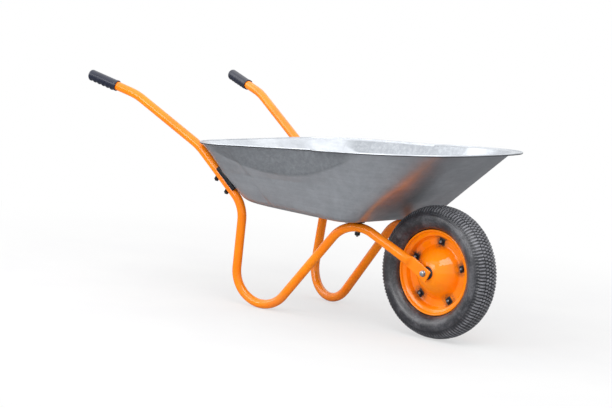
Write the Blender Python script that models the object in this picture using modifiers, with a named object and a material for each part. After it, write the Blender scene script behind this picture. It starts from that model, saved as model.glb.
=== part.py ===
"""Construction wheelbarrow with one pneumatic wheel.

Two bent steel tubes run from the grips, down into the legs and forward to the axle.
They carry a pressed sheet steel tray. The wheel is a tube-type tyre on a rim of two
bolted halves, turning on two sealed bearings and an axle bolt.

Metres, +Z up, +X forward towards the wheel, +Y to the user's left. While the parts are
modelled the axle is at x = 0; at the end everything moves so that the origin lies on
the ground, under the middle of the bounding box.
"""

import functools
import math

import bmesh
import bpy
from mathutils import Matrix, Vector

GAP = 0.0003

# Wheel and tyre
WHEEL_RADIUS = 0.180
TYRE_WIDTH = 0.090
TYRE_WALL = 0.005
BEAD_GAP = 0.0009
BEAD_TOE = 0.8
TREAD_DEPTH = 0.0024
TREAD_GROOVE = 0.0070
TREAD_EDGE_INSET = 0.0155
TREAD_EDGE_DROP = 0.0078
TREAD_LUGS = 84
TREAD_LUG_SHARE = 0.56
LUGS_PER_STEP = 2
TUBE_CLEARANCE = 0.0017
INNER_TUBE_WALL = 0.0018

# Rim halves, as radii and as distances from the wheel's middle plane
RIM_SHEET = 0.002
RIM_FLANGE_RADIUS = 0.116
RIM_HALF_WIDTH = 0.0255
RIM_SEAT_RADIUS = 0.0990
RIM_JOINT_RADIUS = 0.0945
RIM_DOME_RADIUS = 0.073
RIM_DOME_POWER = 1.5
RIM_STEPS = 24
RIM_BOLT_COUNT = 5
RIM_BOLT_CIRCLE = 0.0837
RIM_BOLT_PHASE = math.radians(15.7)

# Valve, which comes through the left rim half between two bolts
VALVE_ANGLE = math.radians(195.7)
VALVE_START = 0.1045
VALVE_OUT = 0.0068
VALVE_TILT = math.radians(20.0)
VALVE_RADIUS = 0.0036
VALVE_BORE = 0.0012
VALVE_LENGTH = 0.027
VALVE_CAP_LENGTH = 0.009

# Bearings and axle
BEARING_RADIUS = 0.0175
BEARING_BORE = 0.0078
BEARING_SPLIT = 0.0106
BEARING_WIDTH = 0.011
BEARING_PLACE = 0.0383
SEAL_THICKNESS = 0.0015
HOLE_CLEARANCE = 0.0005
AXLE_RADIUS = 0.004
AXLE_HOLE = AXLE_RADIUS + HOLE_CLEARANCE
AXLE_TRACK = 0.0645
AXLE_WASHER_RADIUS = 0.0087
AXLE_WASHER_THICKNESS = 0.0016
AXLE_HEAD_HEIGHT = 0.0053
AXLE_TIP = 0.006
BUSH_FLANGE_RADIUS = 0.0098

# Frame tube: its walls, its pressed end, and its centre line's sharp corners
TUBE_RADIUS = 0.0125
TUBE_WALL = 0.0015
FLAT_WIDTH = 0.0345
FLAT_THICKNESS = 0.0045
FLAT_LENGTH = 0.0435
FLAT_OVERHANG = 0.0168
PRESS_LENGTH = 0.014
OVAL_HEIGHT = 0.0285
OVAL_WIDTH = 0.0225
TUBE_SIDES = 12
TUBE_STEPS = (2, 3, 4, 8, 6, 1)
GRIP_END_X = -1.0872
GRIP_END_TRACK = 0.2924
GRIP_END_HEIGHT = 0.5801
HANDLE_BEND_X = -0.9346
HANDLE_BEND_TRACK = 0.2575
HANDLE_BEND_HEIGHT = 0.5418
UPPER_BEND_X = -0.7225
UPPER_BEND_TRACK = 0.2089
UPPER_BEND_HEIGHT = 0.4253
LOWER_BEND_X = -0.5681
LOWER_BEND_TRACK = 0.1743
LOWER_BEND_UNDER_FLOOR = 0.0100
LEG_TRACK = 0.1535
LEG_LEAN = math.radians(3.662)
APEX_X = -0.2352
APEX_TRACK = 0.1092
HANDLE_BEND_RADIUS = 0.180
UPPER_BEND_RADIUS = 0.188
LOWER_BEND_RADIUS = 0.090
LEG_BEND_RADIUS = 0.086
APEX_BEND_RADIUS = 0.097
FLAT_BEND_RADIUS = 0.060

# Grips
GRIP_LENGTH = 0.092
GRIP_WALL = 0.0017
GRIP_CAP = 0.004
GRIP_ROUNDING = 0.0025
GRIP_BUMPS = 6
GRIP_BUMP_HEIGHT = 0.0028
GRIP_COLLAR = 0.0009

# Tray
SHEET = 0.0012
FLOOR_HEIGHT = 0.2887
FLOOR_FRONT = -0.178
FLOOR_HALF_FRONT = 0.195
FLOOR_HALF_REAR = 0.190
FLOOR_CORNER_FRONT = 0.036
FLOOR_EDGE = 0.024
RIM_SLOPE = math.tan(math.radians(5.097))
RIM_HEIGHT_AT_AXLE = 0.5063
RIM_HALF_REAR = 0.312
REAR_FLAT_FLOOR = 0.172
REAR_FLAT_PAST_BOLT = 0.0095
REAR_FLAT_RIM = 0.154
CORNER_LENGTH_FLOOR = 0.100
CORNER_LENGTH_RIM = 0.170
WALL_RINGS = (0.25, 0.5)
WALL_RING_PLAIN = 0.78
KINK_X = -0.262
KINK_HALF = 0.262
NOSE_X = 0.117
NOSE_POWER = 3.0
HEM_WIDTH = 0.006
HEM_DROP = 0.005
LIP_WIDTH = 0.028
LIP_BLEND = 0.030
CREASE_FRONT = -0.060
CREASE_HIGH = 0.93
CREASE_LOW = 0.57
CREASE_BULGE = 0.009

# Fasteners
BOLT_RADIUS = 0.0035
BOLT_HOLE = BOLT_RADIUS + HOLE_CLEARANCE
BOLT_TIP = 0.005
NUT_CORNER = 0.0075
NUT_HEIGHT = 0.0065
AXLE_NUT_CORNER = 0.0076
AXLE_NUT_HEIGHT = 0.0065
HEAD_RADIUS = 0.0068
HEAD_HEIGHT = 0.0034
RIM_HEAD_RADIUS = 0.0061
RIM_HEAD_HEIGHT = 0.0050
RIM_BOLT_TIP = 0.003
WASHER_RADIUS = 0.0078
WASHER_THICKNESS = 0.0016

# Saddles and pads between the tubes and the tray
SADDLE_PLACE = 0.087
SADDLE_LENGTH = 0.079
SADDLE_CROWN = 0.0072
SADDLE_WING = 0.0115
SADDLE_BEVEL = 0.003
SADDLE_HALF_WIDTH = 0.0155
REAR_BOLT_SPACING = 0.0475
FRONT_BOLT_BACK = 0.002
ARCH_SAG = 0.0007
PAD_THICKNESS = 0.0030
PAD_BEHIND_BOLT = 0.035
PAD_BEFORE_BOLT = 0.012
PAD_WIDTH = 0.027


def material(name, colour, roughness, metallic):
    """A Principled material with a plain colour."""
    made = bpy.data.materials.new(name)
    made.use_nodes = True
    shader = made.node_tree.nodes["Principled BSDF"]
    shader.inputs["Base Color"].default_value = (*colour, 1.0)
    shader.inputs["Roughness"].default_value = roughness
    shader.inputs["Metallic"].default_value = metallic
    made.diffuse_color = (*colour, 1.0)
    return made


class Workshop:
    """The collections, the materials and the ways of making an object."""

    def __init__(self):
        for old in list(bpy.data.objects):
            bpy.data.objects.remove(old, do_unlink=True)
        self.parts = bpy.data.collections.new("construction_wheelbarrow")
        self.cutters = bpy.data.collections.new("cutters")
        for collection in (self.parts, self.cutters):
            bpy.context.scene.collection.children.link(collection)
        self.cutters.hide_render = True
        self.root = self.empty("wheelbarrow_root", (0.0, 0.0, 0.0))
        self.wheel = self.empty("wheel_axis", (0.0, 0.0, WHEEL_RADIUS))
        self.orange = material("orange_paint", (1.0, 0.27, 0.01), 0.28, 0.0)
        self.steel = material("galvanised_steel", (0.42, 0.45, 0.48), 0.42, 1.0)
        self.black = material("black_paint", (0.03, 0.03, 0.035), 0.45, 0.0)
        self.plastic = material("black_plastic", (0.025, 0.03, 0.05), 0.5, 0.0)
        self.rubber = material("tyre_rubber", (0.035, 0.035, 0.038), 0.75, 0.0)
        self.zinc = material("zinc_plate", (0.60, 0.62, 0.64), 0.3, 1.0)

    def empty(self, name, place):
        """An empty that other objects hang from."""
        made = bpy.data.objects.new(name, None)
        made.location = place
        self.parts.objects.link(made)
        return made

    def add(self, name, mesh, look, parent=None):
        """A finished part from a mesh in world coordinates, or in its parent's."""
        made = bpy.data.objects.new(name, mesh)
        self.parts.objects.link(made)
        made.parent = parent or self.root
        if not mesh.materials:
            mesh.materials.append(look)
        return made

    def cutter(self, name, mesh, place=None):
        """A hidden solid that only cuts."""
        made = bpy.data.objects.new(name, mesh)
        self.cutters.objects.link(made)
        made.display_type = "WIRE"
        made.hide_render = True
        made.parent = self.root
        if place is not None:
            made.matrix_local = place
        return made


def smooth(mesh, degrees=32.0):
    """Shade smooth, and keep the edges sharper than the angle."""
    mesh.shade_smooth()
    mesh.set_sharp_from_angle(angle=math.radians(degrees))


def to_mesh(name, build):
    """A mesh from a bmesh, with its faces turned outward."""
    mesh = bpy.data.meshes.new(name)
    bmesh.ops.recalc_face_normals(build, faces=build.faces)
    build.to_mesh(mesh)
    build.free()
    return mesh


def baked(thing):
    """The evaluated mesh of an object, whose modifiers are then removed."""
    bpy.context.view_layer.update()
    graph = bpy.context.evaluated_depsgraph_get()
    mesh = bpy.data.meshes.new_from_object(thing.evaluated_get(graph))
    thing.modifiers.clear()
    thing.data = mesh
    return mesh


def subtract(thing, cutters):
    """Cut solids out of a part."""
    for cutter in cutters:
        cut = thing.modifiers.new("cut", "BOOLEAN")
        cut.operation = "DIFFERENCE"
        cut.object = cutter
    smooth(baked(thing))


def frame_along(start, direction):
    """A matrix whose Z axis points along a direction, placed at a point."""
    turn = direction.to_track_quat("Z", "Y").to_matrix().to_4x4()
    return Matrix.Translation(start) @ turn


def rod_mesh(name, radius, length, sides=12):
    """A plain cylinder on Z, centred at the origin."""
    build = bmesh.new()
    bmesh.ops.create_cone(build, cap_ends=True, segments=sides, radius1=radius,
                          radius2=radius, depth=length)
    return to_mesh(name, build)


def ring_prism(name, radius, hole, low, high, count):
    """A prism on Z with a hole, such as a nut (count 6) or a washer.

    The hole is measured to its flats, so that what is thinner goes through.
    """
    build = bmesh.new()
    reach = hole / math.cos(math.pi / count)
    rings = []
    for level in (low, high):
        turns = [2.0 * math.pi * step / count for step in range(count)]
        outer = [build.verts.new((radius * math.cos(angle), radius * math.sin(angle), level))
                 for angle in turns]
        inner = [build.verts.new((reach * math.cos(angle), reach * math.sin(angle), level))
                 for angle in turns]
        rings.append((outer, inner))
    (outer_low, inner_low), (outer_high, inner_high) = rings
    for step in range(count):
        after = (step + 1) % count
        for first, second in ((outer_low, outer_high), (inner_high, inner_low),
                              (inner_low, outer_low), (outer_high, inner_high)):
            build.faces.new((first[step], first[after], second[after], second[step]))
    return to_mesh(name, build)


def turned(shop, name, profile, look, closed=True, steps=24, parent=None):
    """A turned part: (radius, height) points swept round Z."""
    mesh = bpy.data.meshes.new(name)
    points = [(radius, 0.0, height) for radius, height in profile]
    edges = [(index, index + 1) for index in range(len(points) - 1)]
    if closed:
        edges.append((len(points) - 1, 0))
    mesh.from_pydata(points, edges, [])
    made = shop.add(name, mesh, look, parent)
    sweep = made.modifiers.new("turn", "SCREW")
    sweep.steps = steps
    sweep.render_steps = steps
    sweep.use_merge_vertices = True
    sweep.merge_threshold = 0.00001
    sweep.use_normal_calculate = True
    build = bmesh.new()
    build.from_mesh(baked(made))
    bmesh.ops.recalc_face_normals(build, faces=build.faces)
    build.to_mesh(made.data)
    build.free()
    smooth(made.data)
    return made


def wheel_place(side, angle=0.0, circle=0.0):
    """Where a part with its Z along the axle goes: side is -1 for the right, +1 for the left."""
    out = Matrix.Rotation(math.pi / 2.0 * -side, 4, "X")
    place = Matrix.Translation((circle * math.cos(angle), 0.0, circle * math.sin(angle)))
    return place @ out


def rounding(before, corner, after, radius):
    """The arc that rounds a corner: its centre, and from there its start and its end."""
    back = (before - corner).normalized()
    ahead = (after - corner).normalized()
    half = back.angle(ahead) / 2.0
    centre = corner + (back + ahead).normalized() * radius / math.sin(half)
    start = corner + back * radius / math.tan(half) - centre
    end = corner + ahead * radius / math.tan(half) - centre
    return centre, start, end


def fillet_path(corners, radii, steps):
    """A path through corners, each but the ends rounded by an arc."""
    path = [corners[0].copy()]
    for index, (radius, count) in enumerate(zip(radii, steps), start=1):
        centre, start, end = rounding(*corners[index - 1:index + 2], radius)
        sweep = start.angle(end)
        for step in range(count + 1):
            share = step / count
            weight_start = math.sin((1.0 - share) * sweep) / math.sin(sweep)
            weight_end = math.sin(share * sweep) / math.sin(sweep)
            path.append(centre + start * weight_start + end * weight_end)
    path.append(corners[-1].copy())
    return path


GRIP_END = Vector((GRIP_END_X, GRIP_END_TRACK, GRIP_END_HEIGHT))
HANDLE_BEND = Vector((HANDLE_BEND_X, HANDLE_BEND_TRACK, HANDLE_BEND_HEIGHT))
UPPER_BEND = Vector((UPPER_BEND_X, UPPER_BEND_TRACK, UPPER_BEND_HEIGHT))
LOWER_BEND = Vector((LOWER_BEND_X, LOWER_BEND_TRACK, FLOOR_HEIGHT - LOWER_BEND_UNDER_FLOOR))


def tube_corners(foot, peak):
    """The left tube's sharp corners, from the grip's end to past the axle.

    The leg runs down from the lower bend, leaning back, to a corner at the height foot. From
    there the strut rises to the arch's corner at the height peak.
    """
    lean = math.tan(LEG_LEAN)
    leg = Vector((LOWER_BEND.x - lean * (LOWER_BEND.z - foot), LEG_TRACK, foot))
    apex = Vector((APEX_X, APEX_TRACK, peak))
    axle = Vector((0.0, AXLE_TRACK, WHEEL_RADIUS))
    slope = Vector((axle.x - apex.x, 0.0, axle.z - apex.z)).normalized()
    flat_start = axle - slope * FLAT_LENGTH
    end = axle + slope * FLAT_OVERHANG
    return [GRIP_END, HANDLE_BEND, UPPER_BEND, LOWER_BEND, leg, apex, flat_start, end]


def handle_radius():
    """The handle bend's radius, which leaves the tube straight inside the grip."""
    back = GRIP_END - HANDLE_BEND
    half = back.angle(UPPER_BEND - HANDLE_BEND) / 2.0
    return min(HANDLE_BEND_RADIUS, (back.length - GRIP_LENGTH) * math.tan(half))


def bent_path(foot, peak):
    """The left tube's centre line for its leg's and its arch's corner heights."""
    radii = (handle_radius(), UPPER_BEND_RADIUS, LOWER_BEND_RADIUS, LEG_BEND_RADIUS,
             APEX_BEND_RADIUS, FLAT_BEND_RADIUS)
    return fillet_path(tube_corners(foot, peak), radii, TUBE_STEPS)


def crest(foot, peak):
    """The highest point of the centre line's arch, which is the bend at its sixth corner."""
    centre, start, end = rounding(*tube_corners(foot, peak)[4:7], APEX_BEND_RADIUS)
    turning = start.cross(end).normalized()
    up = Vector((0.0, 0.0, 1.0)) - turning * turning.z
    return centre + up.normalized() * APEX_BEND_RADIUS


def halved(low, high, above):
    """The number between two bounds where a test turns true."""
    for _ in range(36):
        middle = (low + high) / 2.0
        if above(middle):
            high = middle
        else:
            low = middle
    return middle


@functools.cache
def standing_heights():
    """The heights of the leg's and the arch's sharp corners.

    The leg's bend touches the ground, and the arch carries the pads under the tray's floor.
    """
    seat = FLOOR_HEIGHT - PAD_THICKNESS - 2.0 * GAP - TUBE_RADIUS
    peak = FLOOR_HEIGHT
    for _ in range(3):
        foot = halved(-FLOOR_HEIGHT, 0.0, lambda height: min(
            point.z for point in bent_path(height, peak)) > TUBE_RADIUS)
        peak = halved(WHEEL_RADIUS, 2.0 * FLOOR_HEIGHT,
                      lambda height: crest(foot, height).z > seat)
    return foot, peak


def tube_section(oval, flat):
    """The tube's section as (across, through) pairs.

    It goes from round to slightly oval (oval 0 to 1), and then to pressed flat (flat 0 to 1).
    """
    pressed_across = (1.0, 0.92, 0.5, 0.0)
    pressed_through = (0.0, 1.0, 1.0, 1.0)
    tall = TUBE_RADIUS + (OVAL_HEIGHT / 2.0 - TUBE_RADIUS) * oval
    wide = TUBE_RADIUS + (OVAL_WIDTH / 2.0 - TUBE_RADIUS) * oval
    section = []
    quarter = TUBE_SIDES // 4
    for step in range(TUBE_SIDES):
        angle = 2.0 * math.pi * step / TUBE_SIDES
        fold = step % (TUBE_SIDES // 2)
        place = fold if fold <= quarter else TUBE_SIDES // 2 - fold
        across = math.copysign(pressed_across[place], math.cos(angle)) * FLAT_WIDTH / 2.0
        through = math.copysign(pressed_through[place], math.sin(angle)) * FLAT_THICKNESS / 2.0
        if place == quarter:
            across = 0.0
        round_across = tall * math.cos(angle)
        round_through = wide * math.sin(angle)
        section.append((round_across + (across - round_across) * flat,
                        round_through + (through - round_through) * flat))
    return section


def tube_path():
    """The left tube's centre line, with the oval share and the flat share at each point."""
    path = bent_path(*standing_heights())
    arc_end = sum(count + 1 for count in TUBE_STEPS[:5])
    path, rest = path[:arc_end + 1], path[arc_end + 1:]
    shares = [(0.0, 0.0)] * len(path)
    start, end = path[-1], rest[0]
    length = (end - start).length
    press = 1.0 - PRESS_LENGTH / length
    for along, flat in ((press / 2.0, 0.0), (press, 0.0), ((press + 1.0) / 2.0, 0.55)):
        path.append(start.lerp(end, along))
        shares.append((min(along / press, 1.0), flat))
    path += rest
    shares += [(1.0, 1.0)] * len(rest)
    return path, shares


def lofted_tube(name, path, sections):
    """An open skin through sections set square to a path, and upright across it."""
    build = bmesh.new()
    rings = []
    last = len(path) - 1
    for index, point in enumerate(path):
        before = path[max(index - 1, 0)]
        after = path[min(index + 1, last)]
        back = (point - before).normalized() if index else (after - point).normalized()
        ahead = (after - point).normalized() if index < last else back
        along = (back + ahead).normalized()
        stretch = 1.0 / max(along.dot(ahead), 0.5)
        through = Vector((0.0, 1.0, 0.0))
        through = (through - along * through.dot(along)).normalized()
        across = through.cross(along)
        rings.append([build.verts.new(point + across * (a * stretch) + through * t)
                      for a, t in sections[index]])
    for lower, upper in zip(rings, rings[1:]):
        count = len(lower)
        for step in range(count):
            after = (step + 1) % count
            build.faces.new((lower[step], lower[after], upper[after], upper[step]))
    return to_mesh(name, build)


def mirrored(mesh, name):
    """The same mesh on the other side of the middle plane."""
    other = mesh.copy()
    other.name = name
    other.transform(Matrix.Scale(-1.0, 4, (0.0, 1.0, 0.0)))
    other.flip_normals()
    return other


def wall_frame():
    """The tray's rear wall: a point on its outer face over the lower bend, and its normal."""
    run = UPPER_BEND - LOWER_BEND
    slope = Vector((run.x, 0.0, run.z)).normalized()
    normal = Vector((slope.z, 0.0, -slope.x))
    stand_off = TUBE_RADIUS + SADDLE_CROWN + 2.0 * GAP
    return LOWER_BEND + normal * stand_off, slope, normal


def rim_height(x):
    """The height of the tray's rim plane."""
    return RIM_HEIGHT_AT_AXLE + RIM_SLOPE * x


def rear_edges():
    """Where the inner face of the rear wall meets the floor and the rim plane."""
    point, _, normal = wall_frame()
    inner = point + normal * SHEET
    floor_x = inner.x - (FLOOR_HEIGHT + SHEET - inner.z) * normal.z / normal.x
    rim_x = ((inner.x * normal.x + inner.z * normal.z - RIM_HEIGHT_AT_AXLE * normal.z)
             / (normal.x + RIM_SLOPE * normal.z))
    return floor_x, rim_x


TRAY_COUNTS = (3, 6, 9, 7, 4)


def corner_arc(centre_x, centre_y, radius, start, end, count):
    """Points on an arc, without its first point."""
    return [(centre_x + radius * math.cos(start + (end - start) * step / count),
             centre_y + radius * math.sin(start + (end - start) * step / count))
            for step in range(1, count + 1)]


def straight(start, end, count):
    """Points on a line, without its first point."""
    return [(start[0] + (end[0] - start[0]) * step / count,
             start[1] + (end[1] - start[1]) * step / count) for step in range(1, count + 1)]


def rear_flat(share):
    """Half the width of the rear wall's flat, at a share of the way up to the rim.

    It reaches past the upper saddle bolts, and is narrower at the floor and at the rim.
    """
    bolt = rear_bolt_places()[1].translation
    floor_z = FLOOR_HEIGHT + SHEET
    middle = (bolt.z - floor_z) / (rim_height(rear_edges()[1]) - floor_z)
    width = bolt.y + REAR_FLAT_PAST_BOLT
    return (REAR_FLAT_FLOOR * (share - middle) * (share - 1.0) / middle
            + width * share * (1.0 - share) / (middle * (1.0 - middle))
            + REAR_FLAT_RIM * share * (share - middle) / (1.0 - middle))


def rear_part(share, inset=0.0):
    """The outline's rear edge and corner, at a share of the way from the floor to the rim.

    The corner is a quarter of an ellipse. The flat between the corners is widest where the
    frame's saddles bear on it.
    """
    floor_x, rim_x = rear_edges()
    rear = floor_x + (rim_x - floor_x) * share + inset
    half = FLOOR_HALF_REAR + (RIM_HALF_REAR - FLOOR_HALF_REAR) * share ** 1.5 - inset
    flat = rear_flat(share) - inset * 1.3
    length = CORNER_LENGTH_FLOOR + (CORNER_LENGTH_RIM - CORNER_LENGTH_FLOOR) * share
    edge, corner = TRAY_COUNTS[:2]
    points = [(rear, flat * step / edge) for step in range(edge + 1)]
    for step in range(1, corner + 1):
        angle = math.pi / 2.0 * step / corner
        points.append((rear + length * (1.0 - math.cos(angle)),
                       flat + (half - flat) * math.sin(angle)))
    return points


def floor_half(inset):
    """The left half of the floor's outline, from the rear middle to the front middle."""
    front = FLOOR_FRONT - inset
    half_front = FLOOR_HALF_FRONT - inset
    corner_front = FLOOR_CORNER_FRONT + inset / 2.0
    _, _, side, nose, front_edge = TRAY_COUNTS
    points = rear_part(0.0, inset)
    points += straight(points[-1], (front - corner_front, half_front), side)
    points += corner_arc(front - corner_front, half_front - corner_front, corner_front,
                         math.pi / 2.0, 0.0, nose)
    points += straight(points[-1], (front, 0.0), front_edge)
    return points


def nose_point(angle):
    """A point of the nose's round front, from the kink (0) to the middle (90 degrees)."""
    power = 2.0 / NOSE_POWER
    return (KINK_X + (NOSE_X - KINK_X) * math.sin(angle) ** power,
            KINK_HALF * max(math.cos(angle), 0.0) ** power)


def rim_half():
    """The left half of the wall's top edge, from the rear middle to the front middle."""
    _, _, side, nose, front_edge = TRAY_COUNTS
    points = rear_part(1.0)
    points += straight(points[-1], (KINK_X, KINK_HALF), side - 3)
    side_end, nose_end = math.radians(28.0), math.radians(64.0)
    points += [nose_point(side_end * ((step + 1) / 3.0) ** 1.5) for step in range(3)]
    points += [nose_point(side_end + (nose_end - side_end) * (step + 1) / nose)
               for step in range(nose)]
    points += [nose_point(nose_end + (math.pi / 2.0 - nose_end) * (step + 1) / front_edge)
               for step in range(front_edge)]
    return points


def wall_half(low, high, share):
    """The left half of an outline between the floor's and the rim's."""
    rear = rear_part(share)
    rest = [(a[0] + (b[0] - a[0]) * share, a[1] + (b[1] - a[1]) * share)
            for a, b in zip(low[len(rear):], high[len(rear):])]
    return rear + rest


def full_loop(half):
    """Both halves of a symmetric outline."""
    other = [(x, -y) for x, y in reversed(half[1:-1])]
    return half + other


def outward(loop):
    """Unit normals in plan that point out of a loop."""
    normals = []
    count = len(loop)
    for index in range(count):
        before, after = loop[index - 1], loop[(index + 1) % count]
        run = Vector((after[0] - before[0], after[1] - before[1])).normalized()
        normals.append(Vector((-run.y, run.x)))
    return normals


def raised(flat, low_z, high, share):
    """Outline points lifted to a share of the height between the floor and the rim."""
    return [Vector((x, y, low_z + (rim_height(top[0]) - low_z) * share))
            for (x, y), top in zip(flat, high)]


def creased(low, high, normals):
    """The ring at the side walls' crease, which dips between the rear corner and the nose.

    Above it the wall stands steeper, as a pressed crescent.
    """
    start = CORNER_LENGTH_RIM / 2.0 + rear_edges()[1]
    ring = []
    plain = full_loop(wall_half(low, high, WALL_RING_PLAIN))
    for index, (x, _) in enumerate(full_loop(high)):
        place = min(max((x - start) / (CREASE_FRONT - start), 0.0), 1.0)
        dip = math.sin(math.pi * place) ** 0.9
        if dip > 0.0:
            share = CREASE_HIGH - (CREASE_HIGH - CREASE_LOW) * dip
            flat = full_loop(wall_half(low, high, share))
        else:
            share = WALL_RING_PLAIN
            flat = plain
        out = normals[index] * CREASE_BULGE * dip
        floor_z = FLOOR_HEIGHT + SHEET
        ring.append(Vector((flat[index][0] + out.x, flat[index][1] + out.y,
                            floor_z + (rim_height(x) - floor_z) * share)))
    return ring


def tray_rings():
    """The rings of the tray's inner face, from the flat floor up and over the rim."""
    low, high = floor_half(0.0), rim_half()
    rim = full_loop(high)
    normals = outward(rim)
    floor_z = FLOOR_HEIGHT + SHEET
    edge_points = [Vector((x, y, floor_z)) for x, y in full_loop(low)]
    inset_points = [Vector((x, y, floor_z)) for x, y in full_loop(floor_half(FLOOR_EDGE))]
    rim_points = [Vector((x, y, rim_height(x))) for x, y in rim]
    walls = [raised(full_loop(wall_half(low, high, share)), floor_z, rim, share)
             for share in WALL_RINGS]
    up = [edge + (wall - edge).normalized() * FLOOR_EDGE
          for edge, wall in zip(edge_points, walls[0])]
    rings = [inset_points]
    for share in (0.33, 0.67, 1.0):
        ring = []
        for start, edge, end in zip(inset_points, edge_points, up):
            ring.append(start * (1.0 - share) ** 2 + edge * 2.0 * share * (1.0 - share)
                        + end * share ** 2)
        rings.append(ring)
    rings += walls
    rings += [creased(low, high, normals), rim_points]
    outer = []
    for point, normal in zip(rim_points, normals):
        share = min(max((point.x - KINK_X) / LIP_BLEND, 0.0), 1.0)
        width = HEM_WIDTH + (LIP_WIDTH - HEM_WIDTH) * share * share * (3.0 - 2.0 * share)
        x, y = point.x + normal.x * width, point.y + normal.y * width
        outer.append(Vector((x, y, rim_height(x))))
    rings.append(outer)
    rings.append([point - Vector((0.0, 0.0, HEM_DROP)) for point in outer])
    return rings


def make_tray(shop, bolt_places):
    """The pressed tray: a skin through its rings, given its sheet, with bolt holes."""
    build = bmesh.new()
    rings = [[build.verts.new(point) for point in ring] for ring in tray_rings()]
    build.faces.new(rings[0])
    for lower, upper in zip(rings, rings[1:]):
        count = len(lower)
        for step in range(count):
            after = (step + 1) % count
            build.faces.new((lower[step], lower[after], upper[after], upper[step]))
    mesh = bpy.data.meshes.new("tray")
    bmesh.ops.recalc_face_normals(build, faces=build.faces)
    build.normal_update()
    build.faces.ensure_lookup_table()
    if build.faces[0].normal.z < 0.0:
        bmesh.ops.reverse_faces(build, faces=build.faces)
    build.to_mesh(mesh)
    build.free()
    tray = shop.add("tray", mesh, shop.steel)
    sheet = tray.modifiers.new("sheet", "SOLIDIFY")
    sheet.thickness = SHEET
    sheet.offset = -1.0
    sheet.use_even_offset = True
    baked(tray)
    rod = rod_mesh("tray_hole", BOLT_HOLE, 12.0 * SHEET)
    subtract(tray, [shop.cutter(f"tray_hole_{index}", rod, place)
                    for index, place in enumerate(bolt_places)])
    return tray


def rear_bolt_places():
    """Frames on the rear wall's inner face for the left tube's two bolts, Z into the tray."""
    _, _, normal = wall_frame()
    run = (UPPER_BEND - LOWER_BEND).normalized()
    reach = TUBE_RADIUS + SADDLE_CROWN + 2.0 * GAP + SHEET
    places = []
    for sign in (-1.0, 1.0):
        centre = LOWER_BEND + run * (SADDLE_PLACE + sign * REAR_BOLT_SPACING / 2.0)
        places.append(frame_along(centre + normal * reach, normal))
    return places


def arch_top():
    """The highest point of the left tube's arch."""
    return crest(*standing_heights())


def rear_stack():
    """What a rear bolt clamps: the tray's wall, the saddle and the tube."""
    return SHEET + 2.0 * GAP + SADDLE_CROWN + 2.0 * TUBE_RADIUS


def front_stack():
    """What a front bolt clamps: the tray's floor, the pad and the tube's arch."""
    return SHEET + 2.0 * GAP + PAD_THICKNESS + 2.0 * TUBE_RADIUS + ARCH_SAG


def drill_mesh(name):
    """A rod that goes right through what the tray's bolts clamp, from the tray's inner face."""
    return rod_mesh(name, BOLT_HOLE, 2.0 * (max(rear_stack(), front_stack()) + BOLT_TIP))


def front_bolt_place():
    """A frame on the floor's upper face for the left front bolt, Z up."""
    top = arch_top()
    return frame_along(Vector((top.x - FRONT_BOLT_BACK, top.y, FLOOR_HEIGHT + SHEET)),
                       Vector((0.0, 0.0, 1.0)))


def flip_side(place):
    """A placing frame on the other side of the middle plane."""
    mirror = Matrix.Scale(-1.0, 4, (0.0, 1.0, 0.0))
    turned_place = mirror @ place @ Matrix.Scale(-1.0, 4, (0.0, 1.0, 0.0))
    return turned_place


def make_tubes(shop):
    """The two frame tubes: lofted, given a wall, drilled, and mirrored."""
    path, shares = tube_path()
    sections = [tube_section(oval, flat) for oval, flat in shares]
    tube = shop.add("frame_tube_left", lofted_tube("frame_tube", path, sections), shop.orange)
    wall = tube.modifiers.new("wall", "SOLIDIFY")
    wall.thickness = TUBE_WALL
    wall.offset = -1.0
    wall.use_even_offset = True
    baked(tube)
    bolt_hole = drill_mesh("tube_hole")
    axle_hole = rod_mesh("axle_hole", AXLE_HOLE, 4.0 * FLAT_THICKNESS)
    cutters = [shop.cutter(f"tube_hole_{index}", bolt_hole, place)
               for index, place in enumerate(rear_bolt_places() + [front_bolt_place()])]
    axle = frame_along(Vector((0.0, AXLE_TRACK, WHEEL_RADIUS)), Vector((0.0, 1.0, 0.0)))
    cutters.append(shop.cutter("axle_hole_left", axle_hole, axle))
    subtract(tube, cutters)
    shop.add("frame_tube_right", mirrored(tube.data, "frame_tube_right"), shop.orange)


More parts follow.
